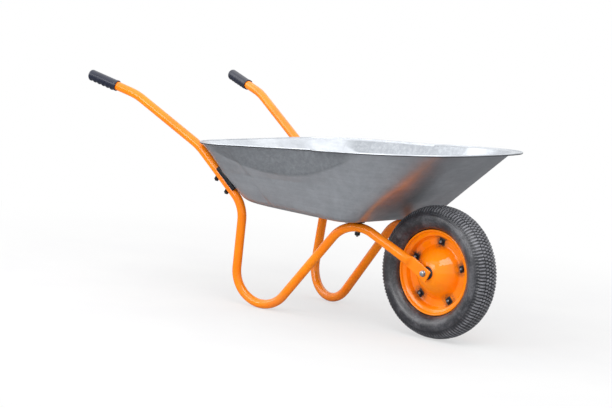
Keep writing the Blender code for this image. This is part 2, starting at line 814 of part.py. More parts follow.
def make_grips(shop):
    """The two plastic grips: a sleeve with finger bumps below and a closed end."""
    along = (HANDLE_BEND - GRIP_END).normalized()
    start = GRIP_END - along * GRIP_CAP
    bore_radius = TUBE_RADIUS + 2.0 * GAP
    stations = 3 * GRIP_BUMPS
    build = bmesh.new()
    rings = []
    through = Vector((0.0, 1.0, 0.0))
    through = (through - along * through.dot(along)).normalized()
    up = through.cross(along)
    if up.z < 0.0:
        up = -up
    sides = 12
    for station in range(stations + 1):
        share = station / stations
        point = start + along * (GRIP_LENGTH + GRIP_CAP) * share
        wave = 0.5 - 0.5 * math.cos(2.0 * math.pi * GRIP_BUMPS * share)
        swell = bore_radius + GRIP_WALL
        if station == 0:
            swell -= GRIP_ROUNDING
        if station >= stations - 1:
            swell += GRIP_COLLAR
        ring = []
        for step in range(sides):
            angle = 2.0 * math.pi * step / sides
            below = max(0.0, -math.sin(angle)) ** 1.5
            radius = swell + GRIP_BUMP_HEIGHT * wave * below
            ring.append(build.verts.new(point + through * (radius * math.cos(angle))
                                        + up * (radius * math.sin(angle))))
        rings.append(ring)
    build.faces.new(rings[0])
    build.faces.new(rings[-1])
    for lower, upper in zip(rings, rings[1:]):
        for step in range(sides):
            after = (step + 1) % sides
            build.faces.new((lower[step], lower[after], upper[after], upper[step]))
    grip = shop.add("grip_left", to_mesh("grip", build), shop.plastic)
    depth = GRIP_LENGTH + TUBE_RADIUS
    bore = shop.cutter("grip_bore", rod_mesh("grip_bore", bore_radius, depth, 24),
                       frame_along(GRIP_END - along * GAP + along * depth / 2.0, along))
    subtract(grip, [bore])
    shop.add("grip_right", mirrored(grip.data, "grip_right"), shop.plastic)


def prism(name, outline, length):
    """A solid of a flat outline in X and Y, centred along Z."""
    build = bmesh.new()
    base = [build.verts.new((x, y, -length / 2.0)) for x, y in outline]
    face = build.faces.new(base)
    grown = bmesh.ops.extrude_face_region(build, geom=[face])
    top = [item for item in grown["geom"] if isinstance(item, bmesh.types.BMVert)]
    bmesh.ops.translate(build, verts=top, vec=(0.0, 0.0, length))
    return to_mesh(name, build)


def make_saddles(shop):
    """The black saddles between the tubes and the tray's rear wall."""
    _, _, normal = wall_frame()
    run = (UPPER_BEND - LOWER_BEND).normalized()
    seat = TUBE_RADIUS + GAP
    crown = seat + SADDLE_CROWN
    wing = crown - SADDLE_WING
    lean = math.asin(wing / seat)
    arc = [(seat * math.cos(angle), seat * math.sin(angle))
           for angle in [lean + (math.pi - 2.0 * lean) * step / 12 for step in range(13)]]
    outline = arc + [(-SADDLE_HALF_WIDTH, wing), (-SADDLE_HALF_WIDTH, crown - SADDLE_BEVEL),
                     (-SADDLE_HALF_WIDTH + SADDLE_BEVEL, crown),
                     (SADDLE_HALF_WIDTH - SADDLE_BEVEL, crown),
                     (SADDLE_HALF_WIDTH, crown - SADDLE_BEVEL), (SADDLE_HALF_WIDTH, wing)]
    side_way = normal.cross(run).normalized()
    square_up = run.cross(side_way).normalized()
    turn = Matrix((side_way, square_up, run)).transposed().to_4x4()
    centre = LOWER_BEND + run * SADDLE_PLACE
    mesh = prism("saddle", outline, SADDLE_LENGTH)
    mesh.transform(Matrix.Translation(centre) @ turn)
    saddle = shop.add("saddle_left", mesh, shop.black)
    rod = drill_mesh("saddle_hole")
    subtract(saddle, [shop.cutter(f"saddle_hole_{index}", rod, place)
                      for index, place in enumerate(rear_bolt_places())])
    shop.add("saddle_right", mirrored(saddle.data, "saddle_right"), shop.black)


def make_pads(shop):
    """The black pads between the tubes' arches and the tray's floor."""
    top = arch_top()
    seat = TUBE_RADIUS + GAP
    reach = APEX_BEND_RADIUS + seat
    front = PAD_BEFORE_BOLT - FRONT_BOLT_BACK
    length = PAD_BEHIND_BOLT + PAD_BEFORE_BOLT
    count = 7
    outline = []
    for step in range(count + 1):
        x = front - length * step / count
        outline.append((x, seat + math.sqrt(reach * reach - x * x) - reach))
    outline += [(front - length, seat + PAD_THICKNESS), (front, seat + PAD_THICKNESS)]
    mesh = prism("pad", outline, PAD_WIDTH)
    mesh.transform(Matrix.Translation(top) @ Matrix.Rotation(math.pi / 2.0, 4, "X"))
    pad = shop.add("front_pad_left", mesh, shop.black)
    rod = drill_mesh("pad_hole")
    subtract(pad, [shop.cutter("pad_hole", rod, front_bolt_place())])
    shop.add("front_pad_right", mirrored(pad.data, "front_pad_right"), shop.black)


def bolt_mesh(shop, name, length, head_radius, head_height, radius, hex_head=False):
    """A bolt with its head's seat at the origin, the shank down -Z and the head up."""
    if hex_head:
        build = bmesh.new()
        made = bmesh.ops.create_cone(build, cap_ends=True, segments=12, radius1=radius,
                                     radius2=radius, depth=length)
        bmesh.ops.translate(build, verts=made["verts"], vec=(0.0, 0.0, -length / 2.0 + 0.001))
        shank = shop.add(name + "_shank", to_mesh(name, build), shop.zinc)
        head = bmesh.new()
        made = bmesh.ops.create_cone(head, cap_ends=True, segments=6, radius1=head_radius,
                                     radius2=head_radius, depth=head_height)
        bmesh.ops.translate(head, verts=made["verts"], vec=(0.0, 0.0, head_height / 2.0))
        cap = shop.cutter(name + "_head", to_mesh(name + "_head", head))
        join = shank.modifiers.new("join", "BOOLEAN")
        join.operation = "UNION"
        join.object = cap
        mesh = baked(shank)
        bpy.data.objects.remove(shank)
        smooth(mesh)
        return mesh
    profile = [(0.0, head_height), (head_radius * 0.55, head_height * 0.86),
               (head_radius * 0.9, head_height * 0.45), (head_radius, 0.0), (radius, 0.0),
               (radius, -length + 0.0008), (radius - 0.0008, -length), (0.0, -length)]
    made = turned(shop, name, profile, shop.zinc, closed=False, steps=8)
    mesh = made.data
    bpy.data.objects.remove(made)
    return mesh


def make_tray_fasteners(shop):
    """Bolts through the tray and the tubes, each with a washer and a nut."""
    nut = ring_prism("tray_nut", NUT_CORNER, BOLT_RADIUS + GAP, 0.0, NUT_HEIGHT, 6)
    washer = ring_prism("tray_washer", WASHER_RADIUS, BOLT_RADIUS + GAP, 0.0,
                        WASHER_THICKNESS, 8)
    extra = WASHER_THICKNESS + NUT_HEIGHT + BOLT_TIP
    rear = bolt_mesh(shop, "rear_bolt", rear_stack() + extra, HEAD_RADIUS, HEAD_HEIGHT,
                     BOLT_RADIUS)
    front = bolt_mesh(shop, "front_bolt", front_stack() + extra, HEAD_RADIUS, HEAD_HEIGHT,
                      BOLT_RADIUS)
    smooth(nut)
    smooth(washer)
    lower, upper = rear_bolt_places()
    rows = (("rear_lower", lower, rear, rear_stack()), ("rear_upper", upper, rear, rear_stack()),
            ("front", front_bolt_place(), front, front_stack()))
    for side, turn in (("left", lambda place: place), ("right", flip_side)):
        for row, place, bolt, stack in rows:
            seat = turn(place)
            pieces = (("bolt", bolt, GAP, shop.zinc),
                      ("washer", washer, -stack - GAP * 2.0 - WASHER_THICKNESS, shop.black),
                      ("nut", nut, -stack - GAP * 3.0 - WASHER_THICKNESS - NUT_HEIGHT,
                       shop.black))
            for kind, mesh, shift, look in pieces:
                made = shop.add(f"tray_{kind}_{row}_{side}", mesh, look)
                made.matrix_local = seat @ Matrix.Translation((0.0, 0.0, shift))


def rim_profile():
    """The outer face of a rim half, from the bearing seat's hole to the flange."""
    seat = BEARING_RADIUS + GAP
    shoulder = BEARING_PLACE - GAP
    mouth = shoulder + BEARING_WIDTH + 0.0012
    joint = RIM_SHEET + GAP / 2.0
    points = [(BEARING_SPLIT + 0.0030, shoulder), (seat, shoulder), (seat, mouth),
              (seat + 0.0030, mouth + 0.0012), (seat + 0.0065, mouth - 0.0005)]
    start, end = points[-1], (RIM_DOME_RADIUS, joint + 0.0015)
    for step in range(1, 4):
        share = step / 4.0
        radius = start[0] + (end[0] - start[0]) * share
        rise = 1.0 - share ** RIM_DOME_POWER
        points.append((radius, end[1] + (start[1] - end[1]) * rise))
    points += [end, (RIM_DOME_RADIUS + 0.003, joint), (RIM_JOINT_RADIUS - 0.003, joint),
               (RIM_JOINT_RADIUS, joint + 0.002)]
    return points + [(RIM_SEAT_RADIUS, RIM_HALF_WIDTH - 0.0100),
                     (RIM_SEAT_RADIUS + 0.0040, RIM_HALF_WIDTH - 0.0072),
                     (RIM_FLANGE_RADIUS - 0.0070, RIM_HALF_WIDTH - 0.0050),
                     (RIM_FLANGE_RADIUS - 0.0030, RIM_HALF_WIDTH - 0.0014),
                     (RIM_FLANGE_RADIUS, RIM_HALF_WIDTH)]


def offset_line(points, distance):
    """An open line of (radius, across) points moved sideways, from a rim towards its tyre."""
    last = len(points) - 1
    moved = []
    for index, point in enumerate(points):
        here = Vector(point)
        back = here - Vector(points[index - 1]) if index else Vector(points[1]) - here
        ahead = Vector(points[index + 1]) - here if index < last else back
        first = Vector((back.y, -back.x)).normalized()
        second = Vector((ahead.y, -ahead.x)).normalized()
        mitre = (first + second).normalized()
        moved.append(here + mitre * (distance / mitre.dot(first)))
    return moved


def wheel_angle(index):
    """The angle of one of the rim's bolts, from +X towards +Z."""
    return RIM_BOLT_PHASE + 2.0 * math.pi * index / RIM_BOLT_COUNT


def valve_place(along):
    """A frame at a distance along the valve's stem, with Z towards its open end."""
    spoke = Vector((math.cos(VALVE_ANGLE), 0.0, math.sin(VALVE_ANGLE)))
    side = Vector((0.0, 1.0, 0.0))
    direction = side * math.sin(VALVE_TILT) - spoke * math.cos(VALVE_TILT)
    start = spoke * VALVE_START + side * (VALVE_OUT - (VALVE_START - RIM_SEAT_RADIUS)
                                          * math.tan(VALVE_TILT))
    return frame_along(start + direction * along, direction)


def make_rims(shop):
    """The two pressed rim halves, drilled for their bolts, and the left one for the valve."""
    hole = rod_mesh("rim_hole", BOLT_HOLE, 12.0 * RIM_SHEET)
    valve = rod_mesh("valve_hole", VALVE_RADIUS + 2.0 * GAP, VALVE_LENGTH)
    outer = rim_profile()
    inner = [tuple(point) for point in offset_line(outer, RIM_SHEET)]
    section = outer + list(reversed(inner))
    for side, word in ((-1, "right"), (1, "left")):
        rim = turned(shop, f"rim_half_{word}", section, shop.orange, closed=True,
                     steps=RIM_STEPS, parent=shop.wheel)
        rim.data.transform(wheel_place(side))
        cutters = []
        for index in range(RIM_BOLT_COUNT):
            place = wheel_place(side, wheel_angle(index), RIM_BOLT_CIRCLE)
            cutters.append(shop.cutter(f"rim_hole_{word}_{index}", hole,
                                       shop.wheel.matrix_basis @ place))
        if side > 0:
            place = valve_place(VALVE_LENGTH / 2.0)
            cutters.append(shop.cutter("valve_hole", valve, shop.wheel.matrix_basis @ place))
        subtract(rim, cutters)


def make_rim_fasteners(shop):
    """The bolts that hold the rim halves together: nuts on the right, heads on the left."""
    stack = 2.0 * RIM_SHEET + GAP
    nut = ring_prism("rim_nut", NUT_CORNER, BOLT_RADIUS + GAP, 0.0, NUT_HEIGHT, 6)
    smooth(nut)
    bolt = bolt_mesh(shop, "rim_bolt", stack + NUT_HEIGHT + RIM_BOLT_TIP, RIM_HEAD_RADIUS,
                     RIM_HEAD_HEIGHT, BOLT_RADIUS, hex_head=True)
    for index in range(RIM_BOLT_COUNT):
        angle = wheel_angle(index)
        made = shop.add(f"rim_bolt_{index + 1}", bolt, shop.zinc, shop.wheel)
        lift = Matrix.Translation((0.0, 0.0, stack / 2.0 + GAP))
        made.matrix_local = wheel_place(1, angle, RIM_BOLT_CIRCLE) @ lift
        made = shop.add(f"rim_nut_{index + 1}", nut, shop.black, shop.wheel)
        made.matrix_local = wheel_place(-1, angle, RIM_BOLT_CIRCLE) @ lift


def tyre_section():
    """Half of the tyre's section as (radius, across) points.

    The outer face runs from the bead to the lugs' feet, and the inner face from the crown
    back to the bead.
    """
    half = TYRE_WIDTH / 2.0
    crown = WHEEL_RADIUS - TREAD_DEPTH
    seat = offset_line(rim_profile()[-6:], RIM_SHEET + BEAD_GAP)
    bead = seat[0].lerp(seat[1], BEAD_TOE)
    flange = RIM_FLANGE_RADIUS
    outer = [tuple(point) for point in [bead] + seat[1:]]
    outer += [(flange + 0.0090, half * 0.81), (flange + 0.0190, half * 0.96),
              (flange + 0.0290, half), (flange + 0.0390, half * 0.94)]
    inner = [(crown - 0.0080, half * 0.30), (crown - 0.0160, half * 0.70),
             (flange + 0.0300, half - TYRE_WALL), (flange + 0.0150, half * 0.90 - TYRE_WALL),
             (bead.x + 0.0110, bead.y + 0.0010)]
    return outer, inner


class Tread:
    """One side of the tyre: shoulder lugs round the tread, and the wall down to the bead.

    The tread has two columns of points for each lug, and the wall one for a few lugs. Each
    lug stands on the carcass, and runs out to nothing at its foot on the shoulder.
    """

    def __init__(self, build, side, shift):
        self.build = build
        self.side = side
        self.shift = shift
        outer, inner = tyre_section()
        crown = WHEEL_RADIUS - TREAD_DEPTH
        groove = TREAD_GROOVE / 2.0
        edge = TYRE_WIDTH / 2.0 - TREAD_EDGE_INSET
        self.low = self.columns([(crown, groove),
                                 (crown - TREAD_EDGE_DROP, edge - TREAD_DEPTH / 2.0)])
        self.high = self.columns([(WHEEL_RADIUS, groove),
                                  (WHEEL_RADIUS - TREAD_EDGE_DROP, edge)])
        self.foot = self.columns([outer[-1]])[0]
        self.wall = [self.ring(point) for point in outer[-2::-1] + inner[::-1]]

    def angle(self, column):
        """The angle of a column of the tread: a lug starts at an even one and ends at the next."""
        share = column // 2 + (column % 2) * TREAD_LUG_SHARE + self.shift
        return 2.0 * math.pi * share / TREAD_LUGS

    def point(self, place, angle):
        """A new corner at a (radius, across) place of the section, at an angle round the axle."""
        radius, across = place
        return self.build.verts.new((radius * math.cos(angle), across * self.side,
                                     radius * math.sin(angle)))

    def columns(self, places):
        """Rows of corners at all of the tread's columns."""
        return [[self.point(place, self.angle(column)) for column in range(2 * TREAD_LUGS)]
                for place in places]

    def ring(self, place):
        """A row of corners at the wall's columns."""
        return [self.point(place, self.angle(column))
                for column in range(0, 2 * TREAD_LUGS, 2 * LUGS_PER_STEP)]

    def close(self):
        """Add the faces of the lugs, the grooves between them and the wall."""
        face = self.build.faces.new
        (inner_low, edge_low), (inner_high, edge_high), foot = self.low, self.high, self.foot
        count = 2 * TREAD_LUGS
        for column in range(count):
            after = (column + 1) % count
            if column % 2:
                face((inner_low[column], inner_low[after], edge_low[after], edge_low[column]))
                face((edge_low[column], edge_low[after], foot[after], foot[column]))
            else:
                face((inner_low[column], inner_low[after], inner_high[after],
                      inner_high[column]))
                face((inner_high[column], inner_high[after], edge_high[after],
                      edge_high[column]))
                face((edge_high[column], edge_high[after], foot[after], foot[column]))
            face((inner_low[column], inner_high[column], edge_high[column], edge_low[column]))
            face((edge_low[column], edge_high[column], foot[column]))
        span = 2 * LUGS_PER_STEP
        steps = count // span
        for step in range(steps):
            after = (step + 1) % steps
            face([foot[(step * span + part) % count] for part in range(span + 1)]
                 + [self.wall[0][after], self.wall[0][step]])
            for lower, upper in zip(self.wall, self.wall[1:]):
                face((lower[step], lower[after], upper[after], upper[step]))


def make_tyre(shop):
    """The tyre: two sides with staggered lugs, joined along the crown and inside."""
    build = bmesh.new()
    left, right = Tread(build, 1.0, 0.0), Tread(build, -1.0, 0.5)
    left.close()
    right.close()
    for first, second in ((left.low[0], right.low[0]), (left.wall[-1], right.wall[-1])):
        count = len(first)
        for step in range(count):
            after = (step + 1) % count
            build.faces.new((first[step], first[after], second[after], second[step]))
    mesh = to_mesh("tyre", build)
    smooth(mesh)
    shop.add("tyre", mesh, shop.rubber, shop.wheel)


def make_inner_tube(shop):
    """The inner tube, with its valve stem through the left rim half, and the valve's cap."""
    _, inner = tyre_section()
    inside_face = [(radius, -across) for radius, across in reversed(inner)] + inner
    section = [tuple(point) for point in offset_line(inside_face, -TUBE_CLEARANCE)]
    neck = section[-1][1] - TUBE_CLEARANCE
    base = RIM_SEAT_RADIUS + RIM_SHEET + TUBE_CLEARANCE
    section += [(base, neck), (base, -neck)]
    tube = turned(shop, "inner_tube", section, shop.rubber, closed=True, steps=18,
                  parent=shop.wheel)
    tube.data.transform(Matrix.Rotation(math.pi / 2.0, 4, "X"))
    wall = tube.modifiers.new("wall", "SOLIDIFY")
    wall.thickness = INNER_TUBE_WALL
    wall.offset = -1.0
    wall.use_even_offset = True
    baked(tube)
    half = VALVE_LENGTH / 2.0
    stem = shop.cutter("valve_stem", rod_mesh("valve_stem", VALVE_RADIUS, VALVE_LENGTH, 16),
                       shop.wheel.matrix_basis @ valve_place(half))
    join = tube.modifiers.new("stem", "BOOLEAN")
    join.operation = "UNION"
    join.object = stem
    baked(tube)
    bore = rod_mesh("valve_bore", VALVE_BORE, 2.0 * VALVE_LENGTH)
    subtract(tube, [shop.cutter("valve_bore", bore,
                                shop.wheel.matrix_basis @ valve_place(half))])
    inside = VALVE_RADIUS + GAP
    top = VALVE_CAP_LENGTH
    profile = [(0.0, top), (inside + 0.0004, top), (inside + 0.0011, top - 0.0008),
               (inside + 0.0014, 0.0), (inside, 0.0), (inside, top - 0.0020), (0.0, top - 0.0020)]
    cap = turned(shop, "valve_cap", profile, shop.plastic, closed=False, steps=14,
                 parent=shop.wheel)
    cap.matrix_local = valve_place(VALVE_LENGTH + GAP - (top - 0.0020))


def ring_part(shop, name, profile, look, side, parent, steps=12):
    """A turned ring on the axle, given as (radius, distance out) points."""
    made = turned(shop, name, profile, look, closed=True, steps=steps, parent=parent)
    made.data.transform(wheel_place(side))
    return made


def box_profile(inner, outer, low, high):
    """A rectangle's section, run down its outer side."""
    return [(inner, high), (outer, high), (outer, low), (inner, low)]


def make_hub(shop):
    """The bearings, seals, bushes, sleeve and the axle bolt with its nut and washers."""
    start, end = BEARING_PLACE, BEARING_PLACE + BEARING_WIDTH
    seat = Matrix.Translation((0.0, 0.0, WHEEL_RADIUS))
    plate_in = AXLE_TRACK - FLAT_THICKNESS / 2.0 - GAP
    plate_out = AXLE_TRACK + FLAT_THICKNESS / 2.0 + GAP
    bush_neck = BEARING_BORE - GAP
    for side, word in ((-1, "right"), (1, "left")):
        ring_part(shop, f"bearing_outer_{word}",
                  box_profile(BEARING_SPLIT, BEARING_RADIUS, start, end), shop.zinc, side,
                  shop.wheel)
        ring_part(shop, f"bearing_seal_{word}",
                  box_profile(BEARING_SPLIT + 0.0006, BEARING_RADIUS - 0.0008, end + GAP,
                              end + GAP + SEAL_THICKNESS), shop.black, side, shop.wheel)
        inner = ring_part(shop, f"bearing_inner_{word}",
                          box_profile(BEARING_BORE, BEARING_SPLIT - 2.0 * GAP, start, end), shop.zinc,
                          side, None)
        bush = [(AXLE_HOLE, plate_in), (BUSH_FLANGE_RADIUS, plate_in),
                (BUSH_FLANGE_RADIUS, end + GAP), (bush_neck, end + GAP),
                (bush_neck, start + 0.001), (AXLE_HOLE, start + 0.001)]
        bushing = ring_part(shop, f"axle_bush_{word}", bush, shop.zinc, side, None)
        washer = ring_part(shop, f"axle_washer_{word}",
                           box_profile(AXLE_HOLE, AXLE_WASHER_RADIUS, plate_out,
                                       plate_out + AXLE_WASHER_THICKNESS),
                           shop.zinc, side, None)
        for made in (inner, bushing, washer):
            made.matrix_local = seat
    sleeve = ring_part(shop, "hub_sleeve",
                       box_profile(AXLE_HOLE, BEARING_SPLIT - 2.0 * GAP, -start + GAP,
                                   start - GAP), shop.zinc, 1, None)
    sleeve.matrix_local = seat
    outside = plate_out + AXLE_WASHER_THICKNESS + GAP
    clamped = 2.0 * outside
    head = bolt_mesh(shop, "axle_bolt", clamped + AXLE_NUT_HEIGHT + AXLE_TIP,
                     AXLE_NUT_CORNER, AXLE_HEAD_HEIGHT, AXLE_RADIUS, hex_head=True)
    axle = shop.add("axle_bolt", head, shop.zinc)
    lift = Matrix.Translation((0.0, 0.0, outside))
    axle.matrix_local = seat @ wheel_place(-1) @ lift
    nut = ring_prism("axle_nut", AXLE_NUT_CORNER, AXLE_RADIUS + GAP, 0.0, AXLE_NUT_HEIGHT, 6)
    smooth(nut)
    made = shop.add("axle_nut", nut, shop.zinc)
    made.matrix_local = seat @ wheel_place(1) @ lift


def centre_on_ground(shop):
    """Move the whole barrow so that the origin lies under the middle of its box."""
    bpy.context.view_layer.update()
    graph = bpy.context.evaluated_depsgraph_get()
    low = Vector((math.inf,) * 3)
    high = Vector((-math.inf,) * 3)
    for thing in shop.parts.objects:
        if thing.type != "MESH":
            continue
        ready = thing.evaluated_get(graph)
        for vertex in ready.data.vertices:
            point = thing.matrix_world @ vertex.co
            low = Vector(map(min, low, point))
            high = Vector(map(max, high, point))
    shop.root.location = (-(low.x + high.x) / 2.0, -(low.y + high.y) / 2.0, -low.z)
    bpy.context.view_layer.update()


def main():
    """Build the barrow."""
    shop = Workshop()
    shop.wheel.parent = shop.root
    places = rear_bolt_places() + [front_bolt_place()]
    make_tray(shop, places + [flip_side(place) for place in places])
    make_tubes(shop)
    make_grips(shop)
    make_saddles(shop)
    make_pads(shop)
    make_tray_fasteners(shop)
    make_rims(shop)
    make_rim_fasteners(shop)
    make_tyre(shop)
    make_inner_tube(shop)
    make_hub(shop)
    centre_on_ground(shop)


main()
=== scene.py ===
"""The construction wheelbarrow's looks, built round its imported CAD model.

Each sub-assembly is a class that holds its sizes, builds its meshes and dresses them. Sizes
are metres. X runs forward to the wheel, Y to the user's left and Z up. A piece is modelled
with the axle over x = 0, as its sizes are measured, and then set down on the frame's axle.
"""

import logging
import math
from dataclasses import dataclass, field
from enum import Enum
from functools import cached_property
from typing import Any, Callable, Sequence

import bpy
from mathutils import Matrix, Vector
from mathutils.kdtree import KDTree


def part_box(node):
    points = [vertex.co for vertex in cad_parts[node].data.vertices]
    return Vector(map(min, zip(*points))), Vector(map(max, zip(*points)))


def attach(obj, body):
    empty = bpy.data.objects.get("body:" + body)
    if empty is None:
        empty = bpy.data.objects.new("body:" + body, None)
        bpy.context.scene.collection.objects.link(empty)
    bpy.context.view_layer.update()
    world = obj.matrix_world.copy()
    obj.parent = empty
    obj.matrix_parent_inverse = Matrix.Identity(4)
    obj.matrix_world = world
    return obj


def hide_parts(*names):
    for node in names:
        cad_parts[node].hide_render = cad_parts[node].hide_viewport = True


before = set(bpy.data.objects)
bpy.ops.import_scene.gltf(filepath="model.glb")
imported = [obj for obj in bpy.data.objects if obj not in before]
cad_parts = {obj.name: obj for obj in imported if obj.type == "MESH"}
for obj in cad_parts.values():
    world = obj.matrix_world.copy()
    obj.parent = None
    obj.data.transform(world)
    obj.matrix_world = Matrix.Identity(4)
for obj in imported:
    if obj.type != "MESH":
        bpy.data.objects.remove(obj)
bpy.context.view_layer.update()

Colour = tuple[float, float, float]
Triple = tuple[float, float, float]
Pair = tuple[float, float]
log = logging.getLogger("wheelbarrow")

WHEEL_RADIUS = 0.180
SHEET = 0.0012  # the tray's thickness
GAP = 0.0003  # what pieces that touch keep between them


class Body(Enum):
    """The CAD bodies that a piece can ride on."""

    FRAME = "frame"
    WHEEL = "wheel"


class Side(Enum):
    """A side of the barrow, as the sign of Y."""

    LEFT = 1.0
    RIGHT = -1.0

    @property
    def word(self) -> str:
        """The side's name in node names."""
        return self.name.lower()

    @property
    def mirror(self) -> Matrix:
        """What turns a piece of the left side into one of this side."""
        return Matrix.Scale(self.value, 4, (0.0, 1.0, 0.0))


def axle_centre() -> Vector:
    """The middle of the axle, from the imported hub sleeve."""
    low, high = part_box("hub_sleeve")
    return (low + high) / 2.0


AXLE = axle_centre()
TO_FRAME = Matrix.Translation((AXLE.x, 0.0, AXLE.z - WHEEL_RADIUS))
TO_AXLE = Matrix.Translation(AXLE)
LEFTWARD = Vector((0.0, 1.0, 0.0))
UPWARD = Vector((0.0, 0.0, 1.0))


def eased(value: float, low: float, high: float) -> float:
    """A smooth step from 0 at low to 1 at high.

    Args:
        value: What is measured.
        low: Where the step starts.
        high: Where the step ends.

    Returns:
        The share, from 0 to 1.
    """
    share = min(max((value - low) / (high - low), 0.0), 1.0)
    return share * share * (3.0 - 2.0 * share)


def spread(start: float, end: float, steps: int) -> list[float]:
    """The numbers at even steps from start to end, both among them."""
    return [start + (end - start) * step / steps for step in range(steps + 1)]


def turns(count: int) -> list[float]:
    """The angles of a count of places, spaced evenly round a circle."""
    return spread(0.0, 2.0 * math.pi, count)[:-1]


def square_to(way: Vector, side: Vector) -> Vector:
    """The direction nearest to a side that is square to a way."""
    return (side - way * side.dot(way)).normalized()


def place_field(x: float, y: float, z: float) -> Any:
    """A dataclass field whose default is a place."""
    return field(default_factory=lambda: Vector((x, y, z)))


def parabola(start: Vector, corner: Vector, end: Vector, steps: int) -> list[Vector]:
    """The points, from start to end, of the parabola that rounds a corner."""
    return [start * (1.0 - t) ** 2 + corner * 2.0 * t * (1.0 - t) + end * t ** 2
            for t in spread(0.0, 1.0, steps)]


def rounded(points: Sequence[Vector], cuts: Sequence[float], steps: int) -> list[Vector]:
    """A line whose inner corners are rounded by parabolas.

    Args:
        points: The line's corners, ends among them.
        cuts: How far each inner corner's curve reaches along its two sides.
        steps: The steps in each curve.

    Returns:
        The rounded line, which always has the same count for the same count of corners.
    """
    line = [points[0].copy()]
    for before, corner, after, cut in zip(points, points[1:], points[2:], cuts):
        start = corner + (before - corner).normalized() * cut
        end = corner + (after - corner).normalized() * cut
        line += parabola(start, corner, end, steps)
    line.append(points[-1].copy())
    return line


def flowing(points: Sequence[Vector], steps: int) -> list[Vector]:
    """A smooth line through points.

    Args:
        points: What the line passes through.
        steps: The steps between one point and the next.

    Returns:
        The line's points, the given ones among them.
    """
    line = []
    last = len(points) - 1
    for index in range(last):
        first = points[max(index - 1, 0)]
        start, end = points[index], points[index + 1]
        after = points[min(index + 2, last)]
        for t in spread(0.0, 1.0, steps)[:-1]:
            line.append(0.5 * (2.0 * start + (end - first) * t
                               + (2.0 * first - 5.0 * start + 4.0 * end - after) * t ** 2
                               + (3.0 * start - first - 3.0 * end + after) * t ** 3))
    line.append(points[-1].copy())
    return line


def facing(place: Vector, direction: Vector) -> Matrix:
    """A matrix that points Z along a direction, at a place."""
    return Matrix.Translation(place) @ direction.to_track_quat("Z", "Y").to_matrix().to_4x4()


def lifted(height: float) -> Matrix:
    """A move up Z."""
    return Matrix.Translation((0.0, 0.0, height))


def ring_section(inner: float, outer: float, low: float, high: float, edge: float
                 ) -> list[Pair]:
    """A flat ring's section as (radius, height) pairs, with its outer edges chamfered."""
    return [(inner, low), (outer - edge, low), (outer, low + edge), (outer, high - edge),
            (outer - edge, high), (inner, high)]


